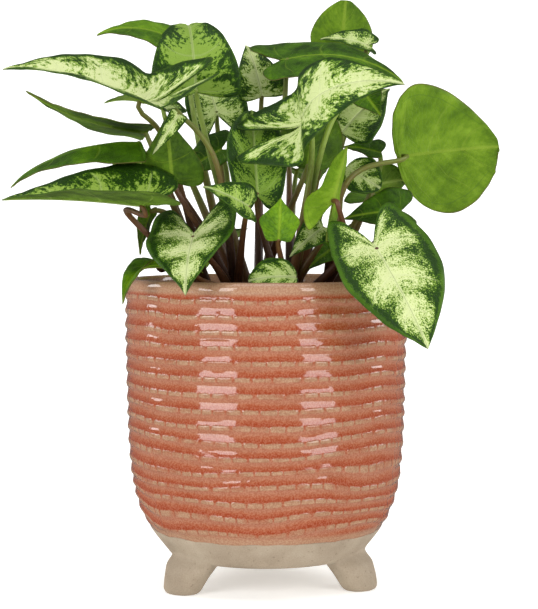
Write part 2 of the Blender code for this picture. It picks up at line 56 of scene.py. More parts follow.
FOOT_SECTIONS = [  # height, radius of its centre, half depth, half width
    (0.0, 50.0, 7.5, 9.0),
    (1.6, 49.8, 8.8, 10.4),
    (7.0, 47.6, 10.0, 12.0),
    (13.0, 44.4, 11.0, 15.0),
    (20.0, 40.0, 9.0, 14.0),
]
MOULD_SEAMS = [66.0, 186.0, 306.0]  # degrees round from the front, to the right
WALL_COLUMNS = 560
WALL_ROWS = 168

# Grow pot and soil
GROW_BASE_RADIUS = 40.5
GROW_TOP_RADIUS = 57.5
GROW_FLOOR = 22.3
GROW_TOP = 135.0
GROW_WALL = 1.2
SOIL_TOP = 129.0
SOIL_LUMPS = 1.6

# Shoots and stalks
STEM_RADIUS = 3.6
STEM_BURIED = 16.0
STEM_ABOVE = 16.0
STALK_BASE_RADIUS = 2.1
STALK_TIP_RADIUS = 1.15
STALK_SIDES = 14
STALK_STEPS = 28
SHOOTS = {
    1: (-14.0, -22.0),
    2: (10.0, -24.0),
    3: (-26.0, 0.0),
    4: (28.0, -4.0),
    5: (-4.0, 2.0),
    6: (12.0, 16.0),
    7: (-14.0, 26.0),
}

# Leaf blades
BLADE_THICK = 0.55
EDGE_THICK = 0.34
VEINS = 5.0  # main side veins on each half, counted round the margin
VEIN_CURVE = 0.07  # how far the side veins bend towards the tip, as a share of the margin
FAN_SHARE = 0.40
HALF_OUTLINES = {
    "arrow": [(-0.05, 0.0), (-0.20, 0.22), (-0.37, 0.55), (-0.33, 0.86), (-0.10, 1.0), (0.16, 0.99),
              (0.42, 0.76), (0.66, 0.43), (0.86, 0.15), (1.0, 0.0)],
    "winged": [(-0.05, 0.0), (-0.25, 0.10), (-0.50, 0.26), (-0.58, 0.42), (-0.46, 0.62), (-0.16, 0.90),
               (0.12, 1.0), (0.40, 0.78), (0.66, 0.43), (0.86, 0.15), (1.0, 0.0)],
    "heart": [(-0.05, 0.0), (-0.20, 0.20), (-0.33, 0.45), (-0.34, 0.68), (-0.18, 0.84), (0.06, 0.98),
              (0.30, 1.0), (0.50, 0.86), (0.68, 0.64), (0.86, 0.30), (1.0, 0.0)],
    "spear": [(-0.05, 0.0), (-0.30, 0.25), (-0.62, 0.50), (-0.50, 0.80), (-0.20, 1.0), (0.02, 0.90),
              (0.20, 0.58), (0.45, 0.50), (0.70, 0.40), (0.88, 0.20), (1.0, 0.0)],
    "young": [(-0.03, 0.0), (-0.07, 0.35), (-0.04, 0.62), (0.18, 0.82), (0.42, 1.0), (0.62, 0.68), (0.82, 0.28),
              (1.0, 0.0)],
    "long": [(-0.03, 0.0), (-0.19, 0.24), (-0.22, 0.50), (-0.08, 0.74), (0.20, 0.94), (0.45, 1.0), (0.70, 0.78),
             (0.90, 0.36), (1.0, 0.0)],
    "round": [(-0.03, 0.0), (-0.02, 0.25), (0.06, 0.60), (0.20, 0.86), (0.40, 1.0), (0.60, 0.92),
              (0.78, 0.70), (0.92, 0.40), (1.0, 0.14), (1.0, 0.0)],
}

# Camera and studio, in metres and watts
CAMERA_AT = (0.0015, -0.880, 0.182)
CAMERA_DROP = math.atan(89.5 / 1778)
CAMERA_LENS = 105.1
SENSOR = 36.0


def leaf(shoot, base, tip, face, kind="variegated", shape="arrow", wide=0.84, back=1.0, skew=0.0,
         fold=(12, 12), droop=30, lobes=10, twist=0, early=False, via=None, wave=0.6, waves=2.0,
         phase=0.0):
    """One leaf: base and tip of its blade in mm, and the way its upper side faces.

    wide is the blade's width and back its lobes' reach, as shares; skew slides one half forwards and the
    other back; the angles are in degrees. early bends the midrib near the stalk instead of near the tip, and
    via is a point that the leaf's stalk passes.
    """
    return dict(shoot=shoot, base=base, tip=tip, face=face, kind=kind, shape=shape, wide=wide, back=back,
                skew=skew, fold=fold, droop=droop, lobes=lobes, twist=twist, early=early, via=via,
                wave=wave, waves=waves, phase=phase)


LEAVES = {
    # Upper left
    "01": leaf(3, (-58, -40, 236), (-121, -58, 249), (0.05, -0.42, 0.92), shape="winged", wide=0.85,
               fold=(15, 11), droop=34, lobes=-58, via=(-46, -28, 212)),
    "02": leaf(5, (-34, -8, 242), (-40, 28, 274), (0.0, -0.55, 0.83), wide=0.72, back=0.15, droop=125,
               fold=(8, 8)),
    "03": leaf(7, (-40, 46, 268), (-87, 38, 274), (0.0, -0.55, 0.83), kind="plain", wide=0.66, back=0.5,
               fold=(-6, -4), droop=68),
    "04": leaf(3, (-58, -6, 223), (-116, -16, 242), (0.1, 0.14, 0.98), kind="plain", back=0.05,
               fold=(-4, 0), droop=-28),
    "05": leaf(3, (-60, -28, 217), (-121, -36, 195), (-0.2, -0.1, 0.97), kind="plain", back=0.05,
               fold=(-18, -6), droop=45),
    "06": leaf(1, (-56, -66, 187), (-121, -64, 189), (0.0, -0.66, 0.75), back=0.6, fold=(52, 0), droop=14,
               via=(-64, -38, 181)),
    # Lower left
    "07": leaf(1, (-34, -48, 172), (-36, -84, 146), (-0.25, -0.5, 0.8), wide=0.96, back=1.4, fold=(8, 8),
               droop=25, lobes=-10),
    "08": leaf(3, (-56, -20, 184), (-60, -32, 163), (-0.8, 0.5, 0.2), kind="plain", wide=0.6, back=0.5,
               fold=(10, 10), droop=20),
    "09": leaf(3, (-52, -36, 160), (-66, -62, 141), (-0.5, -0.5, 0.7), kind="plain", wide=0.5, back=0.1,
               fold=(20, 20), droop=55, via=(-44, -22, 156)),
    "10": leaf(1, (-34, -49, 157), (-57, -57, 157), (0.0, -0.4, 0.9), kind="plain", wide=0.66, back=0.3,
               droop=30),
    "11": leaf(1, (-44, -41, 198), (-47, -41, 229), (-0.1, 0.95, 0.1), kind="plain", wide=1.0, back=0.3,
               droop=-20),
    "12": leaf(1, (-41, -44, 229), (-53, -47, 210), (0.5, -0.7, 0.5), wide=0.4, back=0.1, fold=(20, 20),
               droop=20, via=(-23, -34, 205)),
    # Upper right
    "13": leaf(5, (-2, 44, 243), (-11, 60, 271), (0.0, -0.6, 0.8), wide=0.75, back=0.1, droop=60),
    "14": leaf(5, (10, 14, 260), (68, 2, 247), (0.0, -0.35, 0.95), kind="plain", wide=0.72, back=0.65,
               skew=-0.5, fold=(6, -14), droop=54, lobes=-14),
    "15": leaf(6, (52, 46, 270), (28, 48, 273), (0.1, -0.55, 0.83), wide=0.9, back=0.6, droop=30),
    "16": leaf(6, (39, 56, 262), (42, 64, 295), (0.0, 0.9, 0.3), kind="plain", wide=1.0, shape="round",
               droop=20),
    "17": leaf(2, (17, -42, 227), (64, -58, 242), (-0.1, -0.7, 0.7), shape="winged", wide=0.88, back=1.05,
               fold=(4, -2), droop=115, early=True, lobes=-80),
    "18": leaf(4, (66, 4, 211), (119, 32, 217), (-0.45, 0.85, 0.25), kind="plain", wide=1.15, skew=0.34,
               shape="round", fold=(6, 6), droop=20, via=(38, -22, 196)),
    "19": leaf(2, (46, -24, 242), (55, -28, 229), (0.0, -0.9, 0.4), kind="plain", wide=1.1, back=0.4,
               droop=10, via=(28, -34, 218)),
    "20": leaf(6, (37, -8, 222), (62, 12, 245), (-0.3, -0.8, 0.6), wide=1.0, back=0.2, droop=30),
    "21": leaf(4, (57, 10, 213), (38, 14, 216), (0.0, -0.6, 0.8), kind="plain", wide=0.8, back=0.2,
               droop=20),
    "22": leaf(4, (40, -2, 205), (56, -6, 195), (0.0, -0.9, 0.4), wide=1.1, shape="round", droop=10),
    "23": leaf(4, (65, -12, 184), (38, -10, 180), (0.0, -0.75, 0.65), kind="plain", wide=0.95, back=0.7,
               droop=20),
    # Lower right and middle
    "24": leaf(4, (51, -58, 167), (73, -84, 122), (0.2, -0.85, 0.5), shape="heart", wide=0.94, skew=-0.12,
               fold=(0, 12), droop=20, lobes=-8),
    "25": leaf(2, (31, -52, 188), (38, -46, 214), (0.2, 0.9, 0.3), kind="plain", shape="spear", wide=0.9,
               fold=(76, -6), droop=10, via=(36, -42, 163)),
    "26": leaf(5, (20, -21, 205), (26, -12, 237), (0.0, 0.95, 0.3), kind="plain", shape="round",
               wide=0.95, droop=15),
    "27": leaf(2, (-4, -31, 192), (-7, -10, 233), (0.0, -0.9, 0.4), shape="long", wide=0.66, back=0.75,
               fold=(30, 8), droop=30),
    "28": leaf(1, (-8, -52, 186), (-29, -60, 195), (0.1, -0.7, 0.7), wide=0.95, back=0.4, droop=20),
    "29": leaf(2, (6, -57, 171), (7, -53, 190), (0.0, -0.95, 0.3), kind="plain", shape="young", wide=1.0,
               droop=0, via=(9, -40, 153)),
    "30": leaf(2, (27, -39, 176), (11, -42, 162), (-0.1, -0.8, 0.6), wide=0.8, back=0.3, droop=20),
    "31": leaf(4, (31, -20, 165), (19, -24, 155), (-0.1, -0.8, 0.6), kind="plain", wide=0.8, back=0.4,
               droop=20),
    "32": leaf(2, (14, -52, 153), (-8, -53, 151), (0.0, -0.8, 0.6), wide=0.88, shape="round", droop=40),
    "33": leaf(7, (-24, 14, 214), (-45, 16, 200), (0.0, -0.8, 0.6), kind="plain", wide=0.8, droop=20),
    "41": leaf(4, (54, 17, 197), (71, 19, 200), (0.1, 0.8, 0.5), wide=1.1, shape="round", droop=20),
    # Back
    "34": leaf(7, (-54, 46, 210), (-86, 70, 202), (-0.2, 0.2, 0.95), back=0.4, droop=30),
    "35": leaf(7, (-26, 58, 236), (-36, 88, 256), (0.0, -0.5, 0.85), droop=60),
    "36": leaf(6, (16, 58, 206), (26, 92, 194), (0.1, 0.2, 0.95), kind="plain", back=0.5, droop=40),
    "37": leaf(7, (-30, 52, 172), (-36, 92, 148), (0.0, 0.5, 0.85), back=0.4, droop=50),
    "38": leaf(6, (12, 54, 228), (8, 90, 238), (0.0, -0.2, 0.95), back=0.6, droop=50),
    "39": leaf(7, (-52, 32, 236), (-84, 46, 240), (-0.1, 0.0, 0.95), back=0.5, droop=40),
    "40": leaf(6, (56, 34, 190), (74, 62, 188), (0.1, 0.1, 0.95), kind="plain", droop=30),
}


LOOKS = {  # leaf: how pale, speckled rather than streaked, palest level, and where its green margin starts
    "01": (0.55, 0.2, 0.98, 0.97),
    "02": (0.42, 0.1, 0.56, 0.96),
    "06": (0.20, 0.2, 0.62, 0.96),
    "07": (0.46, 0.9, 0.98, 0.90),
    "13": (0.45, 0.2, 0.90, 0.96),
    "12": (0.45, 0.3, 0.90, 0.96),
    "17": (0.52, 0.1, 0.92, 0.99),
    "20": (0.40, 0.5, 0.80, 0.93),
    "24": (0.48, 1.0, 0.98, 0.88),
    "27": (0.34, 0.6, 0.52, 0.95),
    "28": (0.22, 0.4, 0.66, 0.95),
    "32": (0.40, 0.6, 0.80, 0.93),
}
COMMON_LOOK = (0.38, 0.5, 0.85, 0.93)
# Levels of the plain leaves: their own tone, set lower on the leaves that lie in shade as painted shade.
PLAIN_TONES_AND_SHADE = {"14": 0.26, "11": 0.24, "16": 0.50, "18": 0.56, "25": 0.66, "29": 0.50, "19": 0.30, "31": 0.30,
               "04": 0.36, "05": 0.30, "23": 0.20, "26": 0.30, "33": 0.22, "21": 0.24}


def blend(a, b, share):
    return a + (b - a) * share


def smooth_step(low, high, value):
    share = min(1.0, max(0.0, (value - low) / (high - low)))
    return share * share * (3 - 2 * share)


def smooth_through(points, count):
    """count + 1 points at equal steps along a Catmull-Rom curve through the given ones."""
    known = [Vector(p) for p in points]
    ends = [known[0] * 2 - known[1]] + known + [known[-1] * 2 - known[-2]]
    fine = []
    steps = 24
    for a, b, c, d in zip(ends, ends[1:], ends[2:], ends[3:]):
        for k in range(steps):
            t = k / steps
            fine.append(0.5 * (2 * b + (c - a) * t + (2 * a - 5 * b + 4 * c - d) * t * t
                               + (3 * b - a - 3 * c + d) * t ** 3))
    fine.append(known[-1])
    lengths = [0.0]
    for a, b in zip(fine, fine[1:]):
        lengths.append(lengths[-1] + (b - a).length)
    found = []
    at = 0
    for k in range(count + 1):
        want = lengths[-1] * k / count
        while at < len(fine) - 2 and lengths[at + 1] < want:
            at += 1
        share = (want - lengths[at]) / (lengths[at + 1] - lengths[at])
        found.append(blend(fine[at], fine[at + 1], min(1.0, share)))
    return found


class Surface:
    """A material on one Principled shader, with short calls that add nodes to it."""

    def __init__(self, name, **shader):
        self.material = bpy.data.materials.new(name)
        self.material.use_nodes = True
        self.tree = self.material.node_tree
        self.shader = self.tree.nodes["Principled BSDF"]
        for key, value in shader.items():
            self.shader.inputs[key.replace("_", " ")].default_value = value

    def put(self, socket, value):
        """Joins a node's output to a socket, or sets the socket to a number, colour or vector."""
        if isinstance(value, bpy.types.NodeSocket):
            self.tree.links.new(value, socket)
        elif isinstance(value, (tuple, list)) and len(value) == 3 and socket.type == "RGBA":
            socket.default_value = (*value, 1.0)
        else:
            socket.default_value = value

    def node(self, kind, inputs=(), **settings):
        made = self.tree.nodes.new("ShaderNode" + kind)
        for key, value in settings.items():
            setattr(made, key, value)
        for key, value in dict(inputs).items():
            self.put(made.inputs[key], value)
        return made

    def math(self, operation, a, b=0.0, c=0.0, clamp=False):
        return self.node("Math", {0: a, 1: b, 2: c}, operation=operation, use_clamp=clamp).outputs[0]

    def ease(self, value, low, high, start=0.0, end=1.0):
        """A smooth step from start to end as the value goes from low to high."""
        inputs = {"Value": value, "From Min": low, "From Max": high, "To Min": start, "To Max": end}
        return self.node("MapRange", inputs, interpolation_type="SMOOTHSTEP").outputs[0]

    def uv(self, name):
        return self.node("UVMap", uv_map=name).outputs["UV"]

    def attribute(self, name, output="Fac"):
        return self.node("Attribute", attribute_name=name).outputs[output]

    def place(self):
        return self.node("TexCoord").outputs["Object"]

    def split(self, vector):
        return self.node("SeparateXYZ", {0: vector}).outputs

    def join(self, x, y, z=0.0):
        return self.node("CombineXYZ", {0: x, 1: y, 2: z}).outputs[0]

    def noise(self, vector, scale, detail=2.0, roughness=0.5):
        inputs = {"Vector": vector, "Scale": scale, "Detail": detail, "Roughness": roughness}
        return self.node("TexNoise", inputs).outputs["Fac"]

    def stretch(self, vector, x, y, z):
        inputs = {0: vector, 1: (x, y, z)}
        return self.node("VectorMath", inputs, operation="MULTIPLY").outputs[0]

    def ramp(self, value, stops):
        made = self.node("ValToRGB", {"Fac": value})
        steps = made.color_ramp.elements
        while len(steps) < len(stops):
            steps.new(0.5)
        for step, (position, colour) in zip(steps, stops):
            step.position = position
            step.color = (*srgb(colour), 1.0)
        return made.outputs["Color"]

    def mix(self, share, a, b, mode="MIX"):
        made = self.node("Mix", data_type="RGBA", blend_type=mode)
        self.put(made.inputs[0], share)
        self.put(made.inputs[6], a)
        self.put(made.inputs[7], b)
        return made.outputs[2]

    def bump(self, height, distance, strength=1.0, under=None):
        inputs = {"Height": height, "Distance": distance, "Strength": strength}
        if under is not None:
            inputs["Normal"] = under
        return self.node("Bump", inputs).outputs[0]

    def finish(self, **links):
        for key, value in links.items():
            self.put(self.shader.inputs[key.replace("_", " ")], value)
        return self.material


def srgb(colour):
    """Linear values of a colour given as 0 to 255."""
    found = []
    for value in colour:
        share = value / 255
        found.append(share / 12.92 if share <= 0.04045 else ((share + 0.055) / 1.055) ** 2.4)
    return tuple(found)


def leaf_coordinates(surface):
    """(share along the margin, share out from the midrib, mm along, mm across, the leaf's tone with its painted shade).
    """
    fan = surface.split(surface.uv("fan"))
    flat = surface.split(surface.uv("flat"))
    return fan[0], fan[1], flat[0], flat[1], surface.attribute("tone_and_shade")


def vein_lines(surface, along, out):
    """1 on a main side vein and 0 off it, and how far a point lies from the nearest one, 0 to 0.5."""
    apart = surface.math("PINGPONG", surface.math("MULTIPLY", along, VEINS), 0.5)
    thin = surface.math("MULTIPLY_ADD", out, -0.022, 0.042)
    line = surface.math("SUBTRACT", 1.0, surface.math("DIVIDE", apart, thin), clamp=True)
    return surface.math("MULTIPLY", line, surface.ease(out, 0.70, 0.92, 1.0, 0.0)), apart


def leaf_bump(surface, flat, veins, midrib):
    """Fine cells between the veins and sunk veins."""
    cells = surface.node("TexVoronoi", {"Vector": flat, "Scale": 0.42}, feature="DISTANCE_TO_EDGE",
                         voronoi_dimensions="2D")
    raised = surface.ease(cells.outputs["Distance"], 0.0, 0.12)
    sunk = surface.math("MULTIPLY_ADD", surface.math("MAXIMUM", veins, midrib), -1.6, raised)
    return surface.bump(sunk, 0.00022, 0.6)


def swing(surface, value, amount, level):
    """Adds a noise value to a level, as a swing of the given amount about it."""
    return surface.math("MULTIPLY_ADD", surface.math("SUBTRACT", value, 0.5), amount, level)


def streak_noise(surface, along, out, across, lengthwise):
    """Noise drawn out along the side veins, different on each leaf."""
    at = surface.join(surface.math("MULTIPLY", along, across), surface.math("MULTIPLY", out, lengthwise),
                      surface.math("MULTIPLY", surface.attribute("seed"), 40.0))
    return surface.noise(at, 1.0, 2.0, 0.55)


def make_variegated():
    """Upper side: cream on the ribs, breaking up outwards into dark streaks and speckles, and a green margin."""
    surface = Surface("leaf_variegated_upper", Roughness=0.45, Specular_IOR_Level=0.16)
    along, out, u, v, tone_and_shade = leaf_coordinates(surface)
    flat = surface.uv("flat")
    veins, apart = vein_lines(surface, along, out)
    speckle = surface.attribute("speckle")
    streaks = streak_noise(surface, along, out, 62.0, 6.0)
    fine_streaks = streak_noise(surface, along, out, 140.0, 20.0)
    grain = surface.noise(flat, 1.3, 2.0, 0.8)
    patches = surface.noise(flat, 0.20, 2.0, 0.6)
    wide = surface.noise(flat, 0.08, 1.0, 0.5)
    reach = surface.ease(out, 0.05, 0.85, 0.62, 0.16)
    pale = surface.math("MULTIPLY", surface.math("SUBTRACT", reach, apart), 1.5)
    pale = surface.math("ADD", pale, tone_and_shade)
    pale = swing(surface, streaks, surface.math("MULTIPLY_ADD", speckle, -1.5, 3.0), pale)
    pale = swing(surface, fine_streaks, surface.math("MULTIPLY_ADD", speckle, -0.4, 1.3), pale)
    pale = swing(surface, grain, surface.math("MULTIPLY_ADD", speckle, 2.4, 1.2), pale)
    pale = swing(surface, patches, 1.1, swing(surface, wide, 0.5, pale))
    ragged = swing(surface, grain, 0.20, swing(surface, streaks, 0.16, out))
    ragged = surface.math("SUBTRACT", ragged, surface.attribute("margin"))
    pale = surface.math("ADD", pale, surface.ease(ragged, -0.16, 0.04, 0.0, -0.8))
    pale = surface.math("MINIMUM", pale, surface.attribute("cream"))
    colour = surface.ramp(pale, [
        (0.00, (30, 58, 8)),
        (0.30, (58, 94, 14)),
        (0.46, (98, 134, 32)),
        (0.64, (152, 180, 78)),
        (0.98, (212, 222, 160)),
    ])
    margin = surface.ramp(wide, [(0.35, (58, 94, 12)), (0.65, (82, 122, 20))])
    colour = surface.mix(surface.ease(ragged, -0.02, 0.05, 0.0, 0.7), colour, margin)
    midrib = surface.ease(surface.math("ABSOLUTE", v), 0.25, 1.1, 1.0, 0.0)
    pale_vein = surface.ramp(surface.attribute("cream"), [(0.4, (128, 158, 62)), (0.9, (212, 222, 164))])
    colour = surface.mix(surface.math("MULTIPLY", veins, 0.45), colour, pale_vein)
    colour = surface.mix(surface.math("MULTIPLY", midrib, 0.8), colour, pale_vein)
    # A darker line down the middle of the midrib's groove: painted shade in the crease.
    crease_shade = surface.ease(surface.math("ABSOLUTE", v), 0.05, 0.24, 0.55, 0.0)
    colour = surface.mix(crease_shade, colour, srgb((112, 124, 64)))
    rim = surface.ease(out, 0.975, 0.998, 0.0, 0.7)
    colour = surface.mix(rim, colour, srgb((60, 84, 26)))
    return surface.finish(Base_Color=colour, Normal=leaf_bump(surface, flat, veins, midrib))


def make_plain(name, stops, vein_colour, **shader):
    """A plain side of a leaf: mottled green, faint veins, one more vein near the margin and a brownish rim."""
    surface = Surface(name, **shader)
    along, out, u, v, tone_and_shade = leaf_coordinates(surface)
    flat = surface.uv("flat")
    veins, apart = vein_lines(surface, along, out)
    # The level starts from the leaf's tone, which is set lower on leaves in shade: painted shade.
    level = swing(surface, surface.noise(flat, 0.07, 2.0, 0.5), 0.9, tone_and_shade)
    level = swing(surface, surface.noise(flat, 0.5, 4.0, 0.6), 0.30, level)
    level = swing(surface, streak_noise(surface, along, out, 30.0, 4.0), 0.40, level)
    level = surface.math("ADD", level, surface.ease(out, 0.0, 0.4, 0.12, 0.0))
    colour = surface.ramp(level, stops)
    midrib = surface.ease(surface.math("ABSOLUTE", v), 0.3, 1.1, 1.0, 0.0)
    near_edge = surface.math("ABSOLUTE", surface.math("SUBTRACT", swing(surface, surface.noise(flat, 0.12), 0.06, out), 0.84))
    colour = surface.mix(surface.ease(near_edge, 0.004, 0.014, 0.35, 0.0), colour, srgb((66, 98, 30)))
    colour = surface.mix(surface.math("MULTIPLY", veins, 0.30), colour, vein_colour)
    colour = surface.mix(surface.math("MULTIPLY", midrib, 0.55), colour, vein_colour)
    colour = surface.mix(surface.ease(out, 0.972, 0.996, 0.0, 0.7), colour, srgb((96, 84, 44)))
    return surface.finish(Base_Color=colour, Normal=leaf_bump(surface, flat, veins, midrib))


def make_stalk_surface():
    """Stalks: green above, reddish brown near the soil, with fine lengthwise streaks."""
    surface = Surface("leaf_stalk_skin", Roughness=0.42, Specular_IOR_Level=0.4)
    rise = surface.split(surface.place())[2]
    fan = surface.split(surface.uv("fan"))
    streak = surface.join(surface.math("MULTIPLY", fan[0], 9.0), surface.math("MULTIPLY", fan[1], 0.25),
                          surface.math("MULTIPLY", surface.attribute("seed"), 30.0))
    lines = surface.noise(streak, 2.0, 3.0, 0.6)
    level = surface.ease(rise, 0.140, 0.235, 0.1, 0.78)
    level = surface.math("MULTIPLY_ADD", surface.math("SUBTRACT", lines, 0.5), 0.5, level)
    level = surface.math("ADD", level, surface.math("MULTIPLY_ADD", surface.attribute("seed"), 0.5, -0.25))
    colour = surface.ramp(level, [
        (0.05, (62, 34, 20)),
        (0.30, (96, 60, 34)),
        (0.52, (104, 94, 40)),
        (0.72, (106, 122, 42)),
        (0.95, (138, 160, 66)),
    ])
    return surface.finish(Base_Color=colour, Normal=surface.bump(lines, 0.00015, 0.5))


def make_glaze():
    """Clear salmon glaze: thin and beige on the beads, pooled orange-red on the slope above each of them."""
    surface = Surface("stoneware_glaze", Roughness=0.07, Specular_IOR_Level=0.5)
    place = surface.place()
    row = surface.attribute("row")
    relief_fade = surface.attribute("relief")
    fine = surface.noise(place, 520.0, 3.0, 0.6)
    cloud = surface.noise(place, 55.0, 3.0, 0.55)
    grain = surface.noise(place, 1300.0, 2.0, 0.6)
    share = surface.math("FRACT", surface.math("MULTIPLY_ADD", surface.math("SUBTRACT", fine, 0.5), 0.05, row))
    bead_place = surface.attribute("bead")
    middle = surface.math("SUBTRACT", 0.5, surface.math("PINGPONG", bead_place, 0.5))
    far_along = surface.math("SUBTRACT", surface.math("MULTIPLY", middle, BEAD_LENGTH), BEAD_LENGTH / 2 - 1.35)
    far_up = surface.math("ABSOLUTE", surface.math("SUBTRACT", share, BEAD_MIDDLE))
    far_up = surface.math("SUBTRACT", surface.math("MULTIPLY", far_up, RELIEF_PITCH), BEAD_HALF - 0.9)
    far_along = surface.math("MAXIMUM", far_along, 0.0)
    far_up = surface.math("MAXIMUM", far_up, 0.0)
    apart = surface.math("SQRT", surface.math("ADD", surface.math("MULTIPLY", far_along, far_along),
                                              surface.math("MULTIPLY", far_up, far_up)))
    apart = swing(surface, fine, 0.9, surface.math("SUBTRACT", apart, 0.85))
    apart = swing(surface, surface.noise(place, 90.0, 1.0), 0.9, apart)
    bead = surface.math("MULTIPLY", surface.ease(apart, -0.34, 0.34, 1.0, 0.0), relief_fade)
    worn = surface.ease(surface.noise(place, 75.0, 1.0), 0.36, 0.52, 0.35, 0.9)
    below_bead = surface.math("FRACT", surface.math("ADD", share, 1.0 - BEAD_TOP))
    below_bead = swing(surface, fine, 0.22, swing(surface, cloud, 0.42, below_bead))
    glaze = surface.ramp(below_bead, [
        (0.00, (150, 64, 36)),
        (0.12, (152, 66, 38)),
        (0.30, (160, 84, 54)),
        (0.46, (166, 104, 78)),
        (0.66, (166, 108, 84)),
        (0.84, (158, 92, 66)),
        (1.00, (154, 74, 46)),
    ])
    smooth_band = surface.ramp(cloud, [(0.3, (162, 122, 94)), (0.7, (172, 136, 110))])
    colour = surface.mix(relief_fade, smooth_band, glaze)
    bead_colour = surface.ramp(swing(surface, surface.noise(place, 130.0, 2.0), 0.5, fine), [
        (0.30, (158, 122, 94)), (0.62, (172, 138, 110))])
    colour = surface.mix(surface.math("MULTIPLY", bead, worn), colour, bead_colour)
    colour = surface.mix(surface.ease(grain, 0.40, 0.64, 0.0, 0.16), colour, srgb((206, 170, 140)))
    colour = surface.mix(surface.ease(grain, 0.38, 0.60, 0.22, 0.0), colour, srgb((120, 46, 24)))
    ripples = surface.bump(surface.noise(place, 120.0, 2.0, 0.5), 0.0005, 0.25)
    return surface.finish(Base_Color=colour, Normal=surface.bump(bead, 0.00035, 0.5, under=ripples))


def make_clay():
    """Bare fired clay: matt beige with fine sand and a few darker specks."""
    surface = Surface("stoneware_clay", Roughness=0.85, Specular_IOR_Level=0.3)
    place = surface.place()
    cloud = surface.noise(place, 40.0, 3.0, 0.6)
    sand = surface.noise(place, 1500.0, 3.0, 0.7)
    level = surface.math("MULTIPLY_ADD", surface.math("SUBTRACT", sand, 0.5), 0.6, cloud)
    colour = surface.ramp(level, [
        (0.25, (142, 127, 108)),
        (0.50, (160, 145, 125)),
        (0.75, (174, 160, 140)),
    ])
    specks = surface.ease(surface.noise(place, 700.0, 1.0), 0.68, 0.74, 0.0, 0.45)
    colour = surface.mix(specks, colour, srgb((116, 98, 78)))
    return surface.finish(Base_Color=colour, Normal=surface.bump(sand, 0.0003, 0.5))


def make_plastic():
    surface = Surface("grow_pot_black", Roughness=0.45, Specular_IOR_Level=0.4)
    grain = surface.noise(surface.place(), 600.0, 2.0, 0.5)
    colour = surface.ramp(grain, [(0.3, (24, 24, 26)), (0.7, (34, 34, 36))])
    return surface.finish(Base_Color=colour, Normal=surface.bump(grain, 0.0002, 0.4))


def make_soil_surface():
    """Dark peat with brown fibres and a few pale grains."""
    surface = Surface("soil_peat", Roughness=0.95, Specular_IOR_Level=0.2)
    place = surface.place()
    crumbs = surface.noise(place, 260.0, 5.0, 0.7)
    colour = surface.ramp(crumbs, [(0.30, (26, 18, 13)), (0.52, (58, 42, 30)), (0.72, (96, 74, 54))])
    grains = surface.ease(surface.noise(place, 620.0, 1.0), 0.74, 0.78, 0.0, 0.8)
    colour = surface.mix(grains, colour, srgb((168, 156, 138)))
    return surface.finish(Base_Color=colour, Normal=surface.bump(crumbs, 0.0012, 0.9))


def make_bark():
    surface = Surface("soil_bark", Roughness=0.9, Specular_IOR_Level=0.25)
    grain = surface.noise(surface.stretch(surface.place(), 3.0, 1.0, 1.0), 300.0, 4.0, 0.6)
    colour = surface.ramp(grain, [(0.3, (54, 34, 22)), (0.7, (118, 82, 54))])
    return surface.finish(Base_Color=colour, Normal=surface.bump(grain, 0.0006, 0.7))


def make_floor_surface():
    surface = Surface("studio_floor", Roughness=0.7, Specular_IOR_Level=0.2)
    haze = surface.noise(surface.place(), 2.0, 2.0, 0.5)
    pale = surface.ramp(haze, [(0.3, (243, 243, 242)), (0.7, (247, 247, 246))])
    return surface.finish(Base_Color=pale, Emission_Color=pale, Emission_Strength=FLOOR_GLOW)


